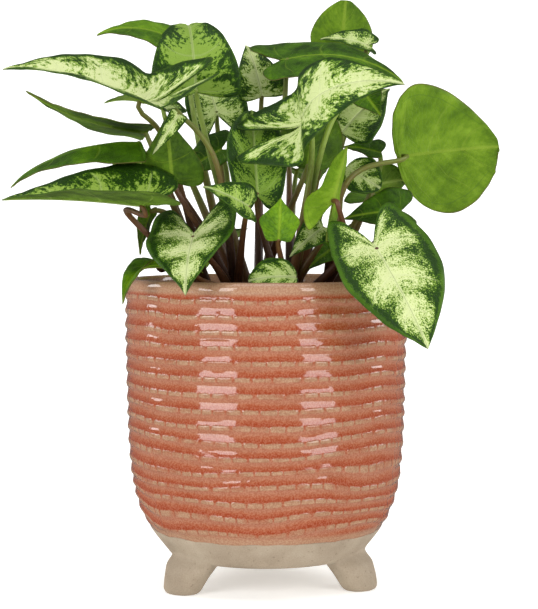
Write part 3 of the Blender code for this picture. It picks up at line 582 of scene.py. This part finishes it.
class Blade:
    """The curved surface of one leaf. point(u, v) takes mm along and across the midrib."""

    STEPS = 24

    def __init__(self, row):
        self.row = row
        self.base = Vector(row["base"])
        chord = Vector(row["tip"]) - self.base
        self.along = chord.normalized()
        face = Vector(row["face"])
        self.up = (face - self.along * face.dot(self.along)).normalized()
        self.side = self.up.cross(self.along)
        self.midrib(chord.length)
        self.half_width = self.length * row["wide"] / 2

    def midrib(self, chord):
        """Walks the midrib in its own plane, bending most near the tip, or near the stalk if early."""
        bend = math.radians(self.row["droop"])
        power = 0.6 if self.row["early"] else 1.3
        angles = [bend * (0.5 - (k / self.STEPS) ** power) for k in range(self.STEPS + 1)]
        points = [Vector((0.0, 0.0))]
        for a, b in zip(angles, angles[1:]):
            middle = (a + b) / 2
            points.append(points[-1] + Vector((math.cos(middle), math.sin(middle))))
        end = points[-1]
        turn = math.atan2(end.y, end.x)
        scale = chord / end.length
        self.length = self.STEPS * scale
        self.angles = [a - turn for a in angles]
        cos, sin = math.cos(-turn), math.sin(-turn)
        self.points = [Vector((p.x * cos - p.y * sin, p.x * sin + p.y * cos)) * scale for p in points]

    def spine(self, u):
        """(point, angle) of the midrib at u mm, and of the lobes' middle line behind the stalk."""
        if u < 0:
            lobe = math.radians(self.row["lobes"])
            zone = 0.15 * self.length
            share = min(1.0, -u / zone)
            half = self.angles[0] + lobe * share / 2
            full = self.angles[0] + lobe * share
            near = Vector((math.cos(half), math.sin(half))) * max(u, -zone)
            return near + Vector((math.cos(full), math.sin(full))) * min(0.0, u + zone), full
        place = min(u / self.length, 1.0) * self.STEPS
        k = min(int(place), self.STEPS - 1)
        share = place - k
        return blend(self.points[k], self.points[k + 1], share), blend(self.angles[k], self.angles[k + 1], share)

    def point(self, u, v):
        row = self.row
        middle, angle = self.spine(u)
        share = max(0.0, u / self.length)
        out = abs(v) / self.half_width
        fold = math.radians(row["fold"][0 if v > 0 else 1])
        across = math.cos(fold) * v
        rise = math.sin(fold) * abs(v)
        ripple = math.sin(2 * math.pi * row["waves"] * u / self.length + row["phase"] + (v > 0) * 1.9)
        rise += row["wave"] * min(out, 1.0) ** 2 * ripple
        twist = math.radians(row["twist"]) * share
        across, rise = (across * math.cos(twist) - rise * math.sin(twist),
                        across * math.sin(twist) + rise * math.cos(twist))
        normal = self.up * math.cos(angle) - self.along * math.sin(angle)
        return self.base + self.along * middle.x + self.up * middle.y + self.side * across + normal * rise

    def normal(self, u, v):
        step = 0.25
        du = self.point(u + step, v) - self.point(u - step, v)
        dv = self.point(u, v + step) - self.point(u, v - step)
        return du.cross(dv).normalized()

    def stalk_end(self):
        """(centre of the stalk's end inside the blade, the way the stalk runs there)."""
        u = 0.02 * self.length
        normal = self.normal(u, 0.0)
        forward = (self.point(u + 0.5, 0.0) - self.point(u, 0.0)).normalized()
        return self.point(u, 0.0) - normal * 0.1, (forward * 0.5 + normal * 0.87).normalized()


def vein_place(along, out, u, v, number):
    """Where a point lies between the side veins, which bend towards the tip and wander a little."""
    wander = 0.022 * noise.noise(Vector((u / 13, v / 13, number * 3.7)))
    return along - VEIN_CURVE * out * out + wander * smooth_step(0.0, 0.2, out)


def relief(blade, along, out, u, v, wobble):
    """How far the blade stands up between its veins, and ripples at its margin."""
    ridge = abs((along * VEINS + 0.5) % 1.0 - 0.5) * 2
    size = min(1.0, blade.length / 60)
    puff = 0.60 * size * (ridge ** 0.8) * smooth_step(0.04, 0.3, out) * (1 - smooth_step(0.75, 1.0, out))
    trough = -0.45 * size * math.exp(-((v / 1.6) ** 2)) * (1 - 0.6 * max(0.0, u / blade.length))
    frill = 0.38 * size * out ** 3 * math.sin(along * 41 + wobble) * math.sin(along * 17 + wobble * 2)
    return puff + trough + frill


def make_leaf(name, row, number):
    """A thin blade with puffed cells, sunk veins and a raised rib below; its two sides have their own finish."""
    blade = Blade(row)
    length, half = blade.length, blade.half_width
    stations, cells = (72, 14) if length > 45 else (44, 10)
    outline = smooth_through(HALF_OUTLINES[row["shape"]], stations)
    spots, index, faces, corners = [], {}, [], []
    wobble = number * 1.7
    for side in (1, -1):
        rows = []
        for k, (u, v) in enumerate(outline):
            reach = max(0.0, (k / stations - FAN_SHARE) / (1 - FAN_SHARE)) ** 1.1
            root = Vector((reach * length, 0.0))
            across = v * half * side
            edge = Vector((u * length * (row["back"] if u < 0 else 1.0) + row["skew"] * across, across))
            line = []
            for c in range(cells + 1):
                out = (c / cells) ** 1.35
                at = blend(root, edge, out)
                key = (round(at.x, 4), round(at.y, 4))
                if key not in index:
                    index[key] = len(spots)
                    spots.append((at.x, at.y, vein_place(k / stations, out, at.x, at.y, number), out))
                line.append((index[key], (side * vein_place(k / stations, out, at.x, at.y, number), out)))
            rows.append(line)
        for a, b in zip(rows, rows[1:]):
            for c in range(cells):
                quad = [a[c], a[c + 1], b[c + 1], b[c]]
                kept = []
                for corner in quad:
                    if corner[0] not in [seen[0] for seen in kept]:
                        kept.append(corner)
                if len(kept) < 3:
                    continue
                if side > 0:
                    kept.reverse()
                faces.append([corner[0] for corner in kept])
                corners.append([corner[1] for corner in kept])
    upper, lower = [], []
    for u, v, along, out in spots:
        normal = blade.normal(u, v)
        at = blade.point(u, v) + normal * relief(blade, along, out, u, v, wobble)
        thick = blend(BLADE_THICK, EDGE_THICK, min(1.0, abs(v) / half))
        rib = 0.9 * math.exp(-((v / 0.9) ** 2)) * max(0.0, 1 - max(0.0, u) / length) ** 0.7 * (u > -1.0)
        upper.append(at + normal * thick / 2)
        lower.append(at - normal * (thick / 2 + rib * min(1.0, length / 50)))
    count = len(spots)
    used = {(f[k], f[(k + 1) % len(f)]) for f in faces for k in range(len(f))}
    rim = [edge for edge in used if (edge[1], edge[0]) not in used]
    shell = [list(f) for f in faces] + [[i + count for i in reversed(f)] for f in faces]
    fan = list(corners) + [list(reversed(c)) for c in corners]
    for a, b in rim:
        shell.append([b, a, a + count, b + count])
        fan.append([(spots[b][2], 1.0), (spots[a][2], 1.0), (spots[a][2], 1.0), (spots[b][2], 1.0)])
    piece = add_mesh(f"blade_{name}", upper + lower, shell)
    shift = number * 137.0
    flat = [[(spots[i % count][0] + shift, spots[i % count][1]) for i in face] for face in shell]
    set_corner_map(piece, "fan", fan)
    set_corner_map(piece, "flat", flat)
    # A plain leaf's level is set lower where the leaf lies in shade: painted shade.
    look = LOOKS.get(name, COMMON_LOOK) if row["kind"] == "variegated" else (PLAIN_TONES_AND_SHADE.get(name, 0.42), 0.0, 0.0, 1.0)
    for value_name, value in zip(("tone_and_shade", "speckle", "cream", "margin"), look):
        set_value(piece, value_name, value)
    set_value(piece, "seed", (number * 0.618) % 1.0)
    kind = row["kind"]
    piece.data.materials.append(FINISHES[kind])
    piece.data.materials.append(FINISHES[kind + "_below"])
    for k, polygon in enumerate(piece.data.polygons):
        polygon.material_index = 0 if k < len(faces) or k >= 2 * len(faces) else 1
    register(piece, "leaf_" + kind, f"leaf_{name}")
    return piece


def add_mesh(name, points, faces, smooth=True):
    """A mesh object from points in mm."""
    mesh = bpy.data.meshes.new(name)
    mesh.from_pydata([Vector(p) * MM for p in points], [], faces)
    if smooth:
        mesh.shade_smooth()
    obj = bpy.data.objects.new(name, mesh)
    bpy.context.scene.collection.objects.link(obj)
    return obj


def set_corner_map(obj, name, values):
    layer = obj.data.uv_layers.new(name=name)
    flat = [number for face in values for corner in face for number in corner]
    layer.data.foreach_set("uv", flat)


def set_value(obj, name, value):
    """One number for the whole piece, or one for each point, that its finish reads."""
    count = len(obj.data.vertices)
    layer = obj.data.attributes.new(name, "FLOAT", "POINT")
    layer.data.foreach_set("value", [value] * count if isinstance(value, float) else value)


def register(obj, slot, *nodes):
    """The piece rides on the plant's one body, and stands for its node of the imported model."""
    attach(obj, BODY)
    if nodes:
        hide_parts(*nodes)


def tube_mesh(path, radii, sides, sheath=0.0):
    """Points, faces and corner values of a closed tube; sheath widens its lower part to a grooved half pipe."""
    points, faces, corners = [], [], []
    right = None
    for k, at in enumerate(path):
        before, after = path[max(k - 1, 0)], path[min(k + 1, len(path) - 1)]
        run = (after - before).normalized()
        if right is None:
            right = run.cross(Vector((0.31, -0.95, 0.05))).normalized()
        right = (right - run * right.dot(run)).normalized()
        front = run.cross(right)
        share = k / (len(path) - 1)
        wing = sheath * (1 - smooth_step(0.30, 0.55, share))
        for s in range(sides):
            turn = 2 * math.pi * s / sides
            lobe = 1 + wing * (0.28 * abs(math.cos(turn)) ** 3 - 0.45 * max(0.0, math.sin(turn)) ** 4)
            points.append(at + (right * math.cos(turn) + front * math.sin(turn)) * radii[k] * lobe)
    for k in range(len(path) - 1):
        for s in range(sides):
            t = (s + 1) % sides
            a, b = k * sides, (k + 1) * sides
            faces.append([a + s, a + t, b + t, b + s])
            low, high = k * 4.0, (k + 1) * 4.0
            corners.append([(s / sides, low), ((s + 1) / sides, low), ((s + 1) / sides, high), (s / sides, high)])
    faces.append(list(reversed(range(sides))))
    corners.append([(0.0, 0.0)] * sides)
    faces.append(list(range(len(points) - sides, len(points))))
    corners.append([(0.0, 0.0)] * sides)
    return points, faces, corners


def stalk_path(row, number, count):
    """The leaf stalk's middle line, from inside its stem to the blade."""
    x, y = SHOOTS[row["shoot"]]
    end, arrive = Blade(row).stalk_end()
    start = Vector((x, y, blend(SOIL_TOP + 4.0, SOIL_TOP + STEM_ABOVE - 5.0, number / max(1, count - 1))))
    flat = Vector((end.x - x, end.y - y, 0.0))
    lean = (Vector((0.0, 0.0, 1.0)) + flat.normalized() * 0.35).normalized()
    if row["via"]:
        over = Vector(row["via"])
        last = end - arrive * min(6.0, 0.3 * (end - over).length)
        return smooth_through([start, over, last, end], STALK_STEPS)
    reach = (end - start).length
    last = end - arrive * min(14.0, 0.3 * reach)
    return geometry.interpolate_bezier(start, start + lean * 0.45 * reach, last, end, STALK_STEPS + 1)


def make_shoot(number):
    """A stem wrapped in the sheaths of its leaf stalks."""
    x, y = SHOOTS[number]
    rows = [row for row in LEAVES.values() if row["shoot"] == number]
    path = [Vector((x, y, blend(SOIL_TOP - STEM_BURIED, SOIL_TOP + STEM_ABOVE, k / 10))) for k in range(11)]
    radii = [STEM_RADIUS * (1 - 0.35 * smooth_step(0.6, 1.0, k / 10)) for k in range(11)]
    points, faces, corners = tube_mesh(path, radii, STALK_SIDES)
    seeds = [number * 0.29 % 1.0] * len(points)
    for k, row in enumerate(rows):
        line = stalk_path(row, k, len(rows))
        thick = [blend(STALK_BASE_RADIUS, STALK_TIP_RADIUS, (i / STALK_STEPS) ** 0.7) for i in range(STALK_STEPS + 1)]
        more, sides, values = tube_mesh(line, thick, STALK_SIDES, sheath=1.0)
        faces += [[i + len(points) for i in face] for face in sides]
        corners += values
        seeds += [(number * 0.37 + k * 0.23) % 1.0] * len(more)
        points += more
    piece = add_mesh(f"stalks_{number}", points, faces)
    set_corner_map(piece, "fan", corners)
    set_value(piece, "seed", seeds)
    piece.data.materials.append(FINISHES["stalk"])
    register(piece, "leaf_stalk", f"shoot_{number}")


def turned(profile, segments):
    """Points and faces of a closed solid of revolution. The profile is (radius, height), from axis to axis."""
    points, rings, faces = [], [], []
    for radius, height in profile:
        if radius == 0:
            rings.append([len(points)] * segments)
            points.append((0.0, 0.0, height))
            continue
        rings.append(list(range(len(points), len(points) + segments)))
        for k in range(segments):
            turn = 2 * math.pi * k / segments
            points.append((radius * math.cos(turn), radius * math.sin(turn), height))
    for low, high in zip(rings, rings[1:]):
        for k in range(segments):
            n = (k + 1) % segments
            faces.append(list(dict.fromkeys((low[k], low[n], high[n], high[k]))))
    return points, faces


def body_radius(height):
    """Outer radius of the pot's wall at the tops of its beads."""
    smooth = BODY_RADII
    for k, ((z0, r0), (z1, r1)) in enumerate(zip(smooth, smooth[1:])):
        if height <= z1:
            before = smooth[max(k - 1, 0)]
            after = smooth[min(k + 2, len(smooth) - 1)]
            share = (height - z0) / (z1 - z0)
            start = (r1 - before[1]) / (z1 - before[0]) * (z1 - z0)
            end = (after[1] - r0) / (after[0] - z0) * (z1 - z0)
            a, b = share * share, share ** 3
            return ((2 * b - 3 * a + 1) * r0 + (b - 2 * a + share) * start
                    + (3 * a - 2 * b) * r1 + (b - a) * end)
    return smooth[-1][1]


def rope_places(turn, height):
    """(row, bead): how many rows up and how many beads round a point lies, with the hand's unevenness."""
    low = 1 - smooth_step(45.0, 95.0, height)
    around = Vector((math.cos(turn), math.sin(turn), 0.0))
    wander = 0.5 * math.sin(turn * 3 + 0.6) + 1.3 * noise.noise(around * 2.2 + Vector((0.0, 0.0, height * 0.03)))
    wander += low * 5.0 * noise.noise(around * 1.5 + Vector((4.0, 0.0, height * 0.045)))
    row = (height - RELIEF_START + wander) / RELIEF_PITCH
    number = math.floor(row)
    drift = 0.5 + 0.5 * math.sin(number * 12.9898)
    drift += 1.3 * noise.noise(around * 2.4 + Vector((0.0, 0.0, number * 1.7)))
    front = (math.degrees(turn) + 90) % 360
    drift += 0.37 * sum(front > seam for seam in MOULD_SEAMS)
    return row, turn / (2 * math.pi) * BEADS_ROUND + drift


def rope_drop(row, bead):
    """How deep the pressed rope pattern lies below its highest point, as a share of its depth."""
    above = (row - BEAD_TOP) % 1.0
    slope_end = 0.50
    bead_start = 1 - 2 * BEAD_HALF / RELIEF_PITCH
    if above < slope_end:
        return blend(0.24, 1.0, above / slope_end)
    if above < bead_start:
        return blend(1.0, 0.22, smooth_step(slope_end, bead_start, above))
    crown = math.sin(math.pi * (above - bead_start) / (1 - bead_start))
    gap = 1 - smooth_step(0.05, 0.16, 0.5 - abs(bead % 1.0 - 0.5))
    return 0.23 - 0.23 * crown * (1 - gap)


def relief_fade(height):
    """1 where the rope pattern is pressed in, 0 on the smooth bands at the rim and at the glaze's lower edge."""
    start = smooth_step(GLAZE_LINE + 1.5, GLAZE_LINE + 5, height)
    return start * (1 - smooth_step(RELIEF_TOP, RELIEF_TOP + 2.5, height))


def make_pot_wall():
    """The glazed wall: pressed rope relief outside, a thin smooth lip, and the inside down to the floor."""
    heights = [blend(GLAZE_LINE, 146.0, k / WALL_ROWS) for k in range(WALL_ROWS + 1)]
    lip = smooth_through([(r, z) for r, z in LIP_PROFILE], 12)[1:]
    inner = [(body_radius(z) - POT_WALL, z) for z in (138.0, 120.0, 90.0, 60.0, 44.0)]
    floor = [(54.0, 34.0), (48.0, 26.0), (43.0, POT_FLOOR_TOP), (0.0, POT_FLOOR_TOP)]
    points, places, rings = [], [], []
    columns = WALL_COLUMNS
    turns = [2 * math.pi * k / columns for k in range(columns)]

    def ring(radius, height):
        rings.append(list(range(len(points), len(points) + columns)))
        for turn in turns:
            points.append((radius * math.cos(turn), radius * math.sin(turn), height))
            places.append((0.0, 0.0, 0.0))

    points.append((0.0, 0.0, GLAZE_LINE - 3.0))
    places.append((0.0, 0.0, 0.0))
    rings.append([0] * columns)
    ring(52.0, GLAZE_LINE - 3.0)
    for height in heights:
        rings.append(list(range(len(points), len(points) + columns)))
        radius = body_radius(height)
        fade = relief_fade(height)
        for turn in turns:
            row, bead = rope_places(turn, height)
            ragged = 0.7 * noise.noise(Vector((math.cos(turn) * 6, math.sin(turn) * 6, 0.0)))
            rolled = 1 - smooth_step(0.0, 2.2, height - GLAZE_LINE)
            uneven = 0.9 + 0.5 * noise.noise(Vector((math.cos(turn) * 4, math.sin(turn) * 4, math.floor(row) * 1.3)))
            drop = blend(0.45, rope_drop(row, bead) * uneven, fade) * RELIEF_DEPTH
            drop *= smooth_step(0.0, 3.0, 146.0 - height)
            out = radius - drop * (1 - rolled) - 0.25 * rolled + seam_ridge(turn)
            points.append((out * math.cos(turn), out * math.sin(turn), height + ragged * rolled))
            places.append((row, bead, fade))
    for radius, height in lip:
        ring(radius, height)
    for radius, height in inner + floor[:-1]:
        ring(radius, height)
    rings.append([len(points)] * columns)
    points.append((0.0, 0.0, POT_FLOOR_TOP))
    places.append((0.0, 0.0, 0.0))
    faces = []
    for low, high in zip(rings, rings[1:]):
        for k in range(columns):
            n = (k + 1) % columns
            faces.append(list(dict.fromkeys((low[k], low[n], high[n], high[k]))))
    piece = add_mesh("pot_glazed_wall", points, faces)
    for name, values in zip(("row", "bead", "relief"), zip(*places)):
        set_value(piece, name, list(values))
    piece.data.materials.append(FINISHES["glaze"])
    register(piece, "glazed_stoneware", "pot")


def seam_ridge(turn):
    """The thin upright ridges that the parts of the mould left."""
    front = (math.degrees(turn) + 90) % 360
    nearest = min(abs(front - seam) for seam in MOULD_SEAMS)
    return 0.28 * math.exp(-((nearest / 0.7) ** 2))


def make_pot_base():
    """The bare clay underside and its three pulled feet, melted into one form."""
    inside = [(0.0, POT_UNDERSIDE + 7.0), (50.0, POT_UNDERSIDE + 10.0), (55.6, GLAZE_LINE + 0.6)]
    profile = [(0.0, POT_UNDERSIDE)] + BASE_PROFILE + [(57.0, GLAZE_LINE + 0.6)] + inside[::-1]
    points, faces = turned(profile, 96)
    base = add_mesh("pot_clay_base", points, faces)
    others = [make_foot(k, math.radians(angle)) for k, angle in enumerate(FOOT_ANGLES)]
    made = bmesh.new()
    for obj in [base] + others:
        made.from_mesh(obj.data)
    bmesh.ops.recalc_face_normals(made, faces=made.faces)
    made.to_mesh(base.data)
    made.free()
    for other in others:
        bpy.data.objects.remove(other)
    melt = base.modifiers.new("melt", "REMESH")
    melt.mode = "VOXEL"
    melt.voxel_size = 0.9 * MM
    soften = base.modifiers.new("soften", "SMOOTH")
    soften.factor = 0.5
    soften.iterations = 7
    apply_modifiers(base)
    for vertex in base.data.vertices:
        vertex.co.z = max(0.0, vertex.co.z)
    base.data.shade_smooth()
    base.data.materials.clear()
    base.data.materials.append(FINISHES["clay"])
    register(base, "glazed_stoneware", "pot")


def make_foot(number, angle):
    """A foot pulled down and outwards from the base, flat underneath."""
    outward = Vector((math.cos(angle), math.sin(angle), 0.0))
    sideways = Vector((-math.sin(angle), math.cos(angle), 0.0))
    sides = 40
    sections = smooth_sections(FOOT_SECTIONS, 14)
    points = []
    for height, reach, deep, half in sections:
        for s in range(sides):
            turn = 2 * math.pi * s / sides
            points.append(outward * (reach + deep * math.cos(turn)) + sideways * half * math.sin(turn)
                          + Vector((0.0, 0.0, height)))
    faces = [list(reversed(range(sides)))]
    for k in range(len(sections) - 1):
        for s in range(sides):
            t = (s + 1) % sides
            a, b = k * sides, (k + 1) * sides
            faces.append([a + s, a + t, b + t, b + s])
    faces.append(list(range(len(points) - sides, len(points))))
    return add_mesh(f"foot_{number}", points, faces)


def smooth_sections(sections, count):
    """The sections at count + 1 even steps of height, eased between the given ones."""
    found = []
    for k in range(count + 1):
        height = blend(sections[0][0], sections[-1][0], k / count)
        for low, high in zip(sections, sections[1:]):
            if height <= high[0]:
                share = (height - low[0]) / (high[0] - low[0])
                found.append([blend(a, b, share) for a, b in zip(low, high)])
                break
    return found


def apply_modifiers(obj):
    graph = bpy.context.evaluated_depsgraph_get()
    mesh = bpy.data.meshes.new_from_object(obj.evaluated_get(graph))
    obj.modifiers.clear()
    obj.data = mesh


def grow_radius(height):
    """Inner radius of the grow pot's wall."""
    share = (height - GROW_FLOOR) / (GROW_TOP - GROW_FLOOR)
    return blend(GROW_BASE_RADIUS, GROW_TOP_RADIUS, share) - GROW_WALL


def make_grow_pot():
    """The thin black nursery pot with a rolled lip."""
    floor = GROW_FLOOR + GROW_WALL
    skirt = GROW_TOP - 6.0
    outside = GROW_TOP_RADIUS + 2.2
    profile = [(0.0, GROW_FLOOR), (GROW_BASE_RADIUS - 1.5, GROW_FLOOR), (GROW_BASE_RADIUS, GROW_FLOOR + 1.5),
               (grow_radius(skirt) + GROW_WALL, skirt), (outside, skirt + 0.2), (outside + 0.5, skirt + 0.9),
               (outside + 0.6, GROW_TOP - 1.0), (outside, GROW_TOP), (outside - 0.8, GROW_TOP),
               (grow_radius(GROW_TOP) + 0.6, GROW_TOP - 0.1), (grow_radius(GROW_TOP), GROW_TOP - 0.7),
               (grow_radius(floor), floor), (0.0, floor)]
    points, faces = turned(profile, 128)
    piece = add_mesh("nursery_pot", points, faces, smooth=False)
    piece.data.shade_smooth()
    piece.data.set_sharp_from_angle(angle=math.radians(38))
    piece.data.materials.append(FINISHES["plastic"])
    register(piece, "grow_pot_plastic", "grow_pot")


def soil_height(x, y):
    """Height of the soil's crumbled top."""
    return SOIL_TOP + SOIL_LUMPS * math.sin(x * 0.13 + 1.0) * math.cos(y * 0.11 + 0.4)


def make_soil():
    """A ball of peat with a crumbled top, and bits of bark lying in it."""
    low = GROW_FLOOR + GROW_WALL + 0.3
    edge = grow_radius(SOIL_TOP - 2.0) - 0.2
    rings = 56
    segments = 150
    profile = [(0.0, low), (grow_radius(low) - 0.3, low)]
    profile += [(blend(grow_radius(low) - 0.3, edge, k / 4), blend(low, SOIL_TOP - 2.0, k / 4)) for k in (1, 2, 3)]
    profile += [(edge * (1 - k / rings), SOIL_TOP) for k in range(rings + 1)]
    points, faces = turned(profile, segments)
    shaped = []
    for x, y, z in points:
        if z > SOIL_TOP - 0.5:
            crumb = noise.noise(Vector((x, y, 0.0)) * 0.30) * 1.5 + noise.noise(Vector((x, y, 9.0)) * 0.75) * 1.1
            crumb += abs(noise.noise(Vector((x, y, 4.0)) * 1.6)) * 0.9
            reach = math.hypot(x, y) / edge
            z = soil_height(x, y) + crumb * (1 - 0.5 * reach ** 4) - 1.6 * reach ** 8
        shaped.append((x, y, z))
    piece = add_mesh("soil_top", shaped, faces)
    piece.data.materials.append(FINISHES["soil"])
    register(piece, "potting_soil", "soil")
    make_bark_bits(edge)


def make_bark_bits(edge):
    """Flat chips of bark that lie half in the soil, as one piece."""
    draw = random.Random(11)
    points, faces = [], []
    for k in range(90):
        reach = edge * 0.94 * math.sqrt(draw.random())
        turn = draw.uniform(0, 2 * math.pi)
        x, y = reach * math.cos(turn), reach * math.sin(turn)
        if any(math.hypot(x - a, y - b) < STEM_RADIUS + 3 for a, b in SHOOTS.values()):
            continue
        size = Vector((draw.uniform(1.6, 4.2), draw.uniform(1.0, 2.4), draw.uniform(0.5, 1.0)))
        tilt = Matrix.Rotation(draw.uniform(0, 6.28), 3, "Z") @ Matrix.Rotation(draw.uniform(-0.35, 0.35), 3, "X")
        middle = Vector((x, y, soil_height(x, y) + 0.5))
        start = len(points)
        rounds = 7
        for level, shrink in ((-1, 0.72), (-0.3, 1.0), (0.4, 0.95), (1, 0.66)):
            for s in range(rounds):
                angle = 2 * math.pi * s / rounds
                ragged = shrink * (1 + 0.25 * noise.noise(Vector((s * 3.1, k * 1.7, 0.0))))
                spot = Vector((size.x * math.cos(angle) * ragged, size.y * math.sin(angle) * ragged, size.z * level))
                points.append(middle + tilt @ spot)
        for level in range(3):
            for s in range(rounds):
                t = (s + 1) % rounds
                a, b = start + level * rounds, start + (level + 1) * rounds
                faces.append([a + s, a + t, b + t, b + s])
        faces.append(list(reversed(range(start, start + rounds))))
        faces.append(list(range(start + 3 * rounds, start + 4 * rounds)))
    piece = add_mesh("bark_bits", points, faces, smooth=False)
    piece.data.materials.append(FINISHES["bark"])
    register(piece, "potting_soil")


def make_studio():
    """Pale floor that curves up behind, two tall soft boxes, a top light and an even sky."""
    profile = [(-3.0, 0.0), (1.0, 0.0)]
    for k in range(1, 17):
        turn = math.radians(90 * k / 16)
        profile.append((1.0 + 0.8 * math.sin(turn), 0.8 - 0.8 * math.cos(turn)))
    profile.append((1.8, 3.5))
    points, faces = [], []
    for y, z in profile:
        points += [(-3.5 / MM, y / MM, z / MM), (3.5 / MM, y / MM, z / MM)]
    for k in range(len(profile) - 1):
        faces.append([2 * k, 2 * k + 1, 2 * k + 3, 2 * k + 2])
    floor = add_mesh("studio_floor", points, faces)
    floor.data.materials.append(make_floor_surface())
    floor.visible_glossy = False
    world = bpy.data.worlds.new("studio")
    world.use_nodes = True
    world.node_tree.nodes["Background"].inputs["Color"].default_value = (1.0, 1.0, 1.0, 1.0)
    world.node_tree.nodes["Background"].inputs["Strength"].default_value = SKY_STRENGTH
    bpy.context.scene.world = world
    for name, place, target, wide, tall, watts in SOFT_BOXES:
        add_light(name, Vector(place), Vector(target), wide, tall, watts)


def add_light(name, place, target, wide, tall, watts):
    light = bpy.data.lights.new(name, "AREA")
    light.shape = "RECTANGLE"
    light.size = wide
    light.size_y = tall
    light.energy = watts
    lamp = bpy.data.objects.new(name, light)
    lamp.location = place
    lamp.rotation_euler = (target - place).to_track_quat("-Z", "Y").to_euler()
    bpy.context.scene.collection.objects.link(lamp)


def make_camera():
    data = bpy.data.cameras.new("camera")
    data.lens = CAMERA_LENS
    data.sensor_width = SENSOR
    camera = bpy.data.objects.new("camera", data)
    camera.location = CAMERA_AT
    camera.rotation_euler = (math.pi / 2 - CAMERA_DROP, 0.0, 0.0)
    bpy.context.scene.collection.objects.link(camera)
    bpy.context.scene.camera = camera


SKY_STRENGTH = 0.17
FLOOR_GLOW = 0.42
SOFT_BOXES = [  # name, place, what it points at, width, height, watts
    ("left_box", (-0.66, -0.80, 0.46), (0.0, 0.0, 0.14), 0.56, 0.50, 6.0),
    ("right_box", (0.70, -0.78, 0.46), (0.0, 0.0, 0.14), 0.52, 0.50, 5.0),
    ("top_box", (0.0, -0.2, 1.4), (0.0, 0.0, 0.14), 1.2, 1.0, 7.0),
    ("back_left", (-1.5, 0.5, 0.9), (-0.2, 1.8, 0.5), 0.9, 0.9, 16.0),
    ("back_right", (1.5, 0.5, 0.9), (0.2, 1.8, 0.5), 0.9, 0.9, 16.0),
]

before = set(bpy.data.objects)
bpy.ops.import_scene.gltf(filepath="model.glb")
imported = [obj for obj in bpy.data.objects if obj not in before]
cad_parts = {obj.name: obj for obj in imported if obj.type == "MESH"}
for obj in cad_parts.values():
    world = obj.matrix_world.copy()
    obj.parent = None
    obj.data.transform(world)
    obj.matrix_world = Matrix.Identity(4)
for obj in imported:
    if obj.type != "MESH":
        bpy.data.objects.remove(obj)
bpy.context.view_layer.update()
FINISHES = {
    "variegated": make_variegated(),
    "variegated_below": make_plain("leaf_variegated_lower", [
        (0.12, (66, 92, 20)), (0.40, (96, 128, 34)), (0.66, (126, 154, 52)), (0.90, (150, 174, 76))],
        srgb((150, 170, 84)), Roughness=0.55, Specular_IOR_Level=0.14),
    "plain": make_plain("leaf_plain_upper", [
        (0.12, (34, 62, 2)), (0.38, (66, 104, 6)), (0.60, (100, 140, 12)), (0.85, (134, 172, 34))],
        srgb((132, 160, 40)), Roughness=0.45, Specular_IOR_Level=0.16),
    "plain_below": make_plain("leaf_plain_lower", [
        (0.12, (46, 72, 6)), (0.38, (74, 106, 12)), (0.60, (98, 132, 20)), (0.85, (124, 156, 38))],
        srgb((130, 154, 46)), Roughness=0.52, Specular_IOR_Level=0.14),
    "stalk": make_stalk_surface(),
    "glaze": make_glaze(),
    "clay": make_clay(),
    "plastic": make_plastic(),
    "soil": make_soil_surface(),
    "bark": make_bark(),
}
make_pot_wall()
make_pot_base()
make_grow_pot()
make_soil()
for shoot_number in SHOOTS:
    make_shoot(shoot_number)
for leaf_number, (leaf_name, leaf_row) in enumerate(LEAVES.items()):
    make_leaf(leaf_name, leaf_row, leaf_number)
make_camera()
make_studio()
bpy.context.scene.view_settings.view_transform = "Standard"
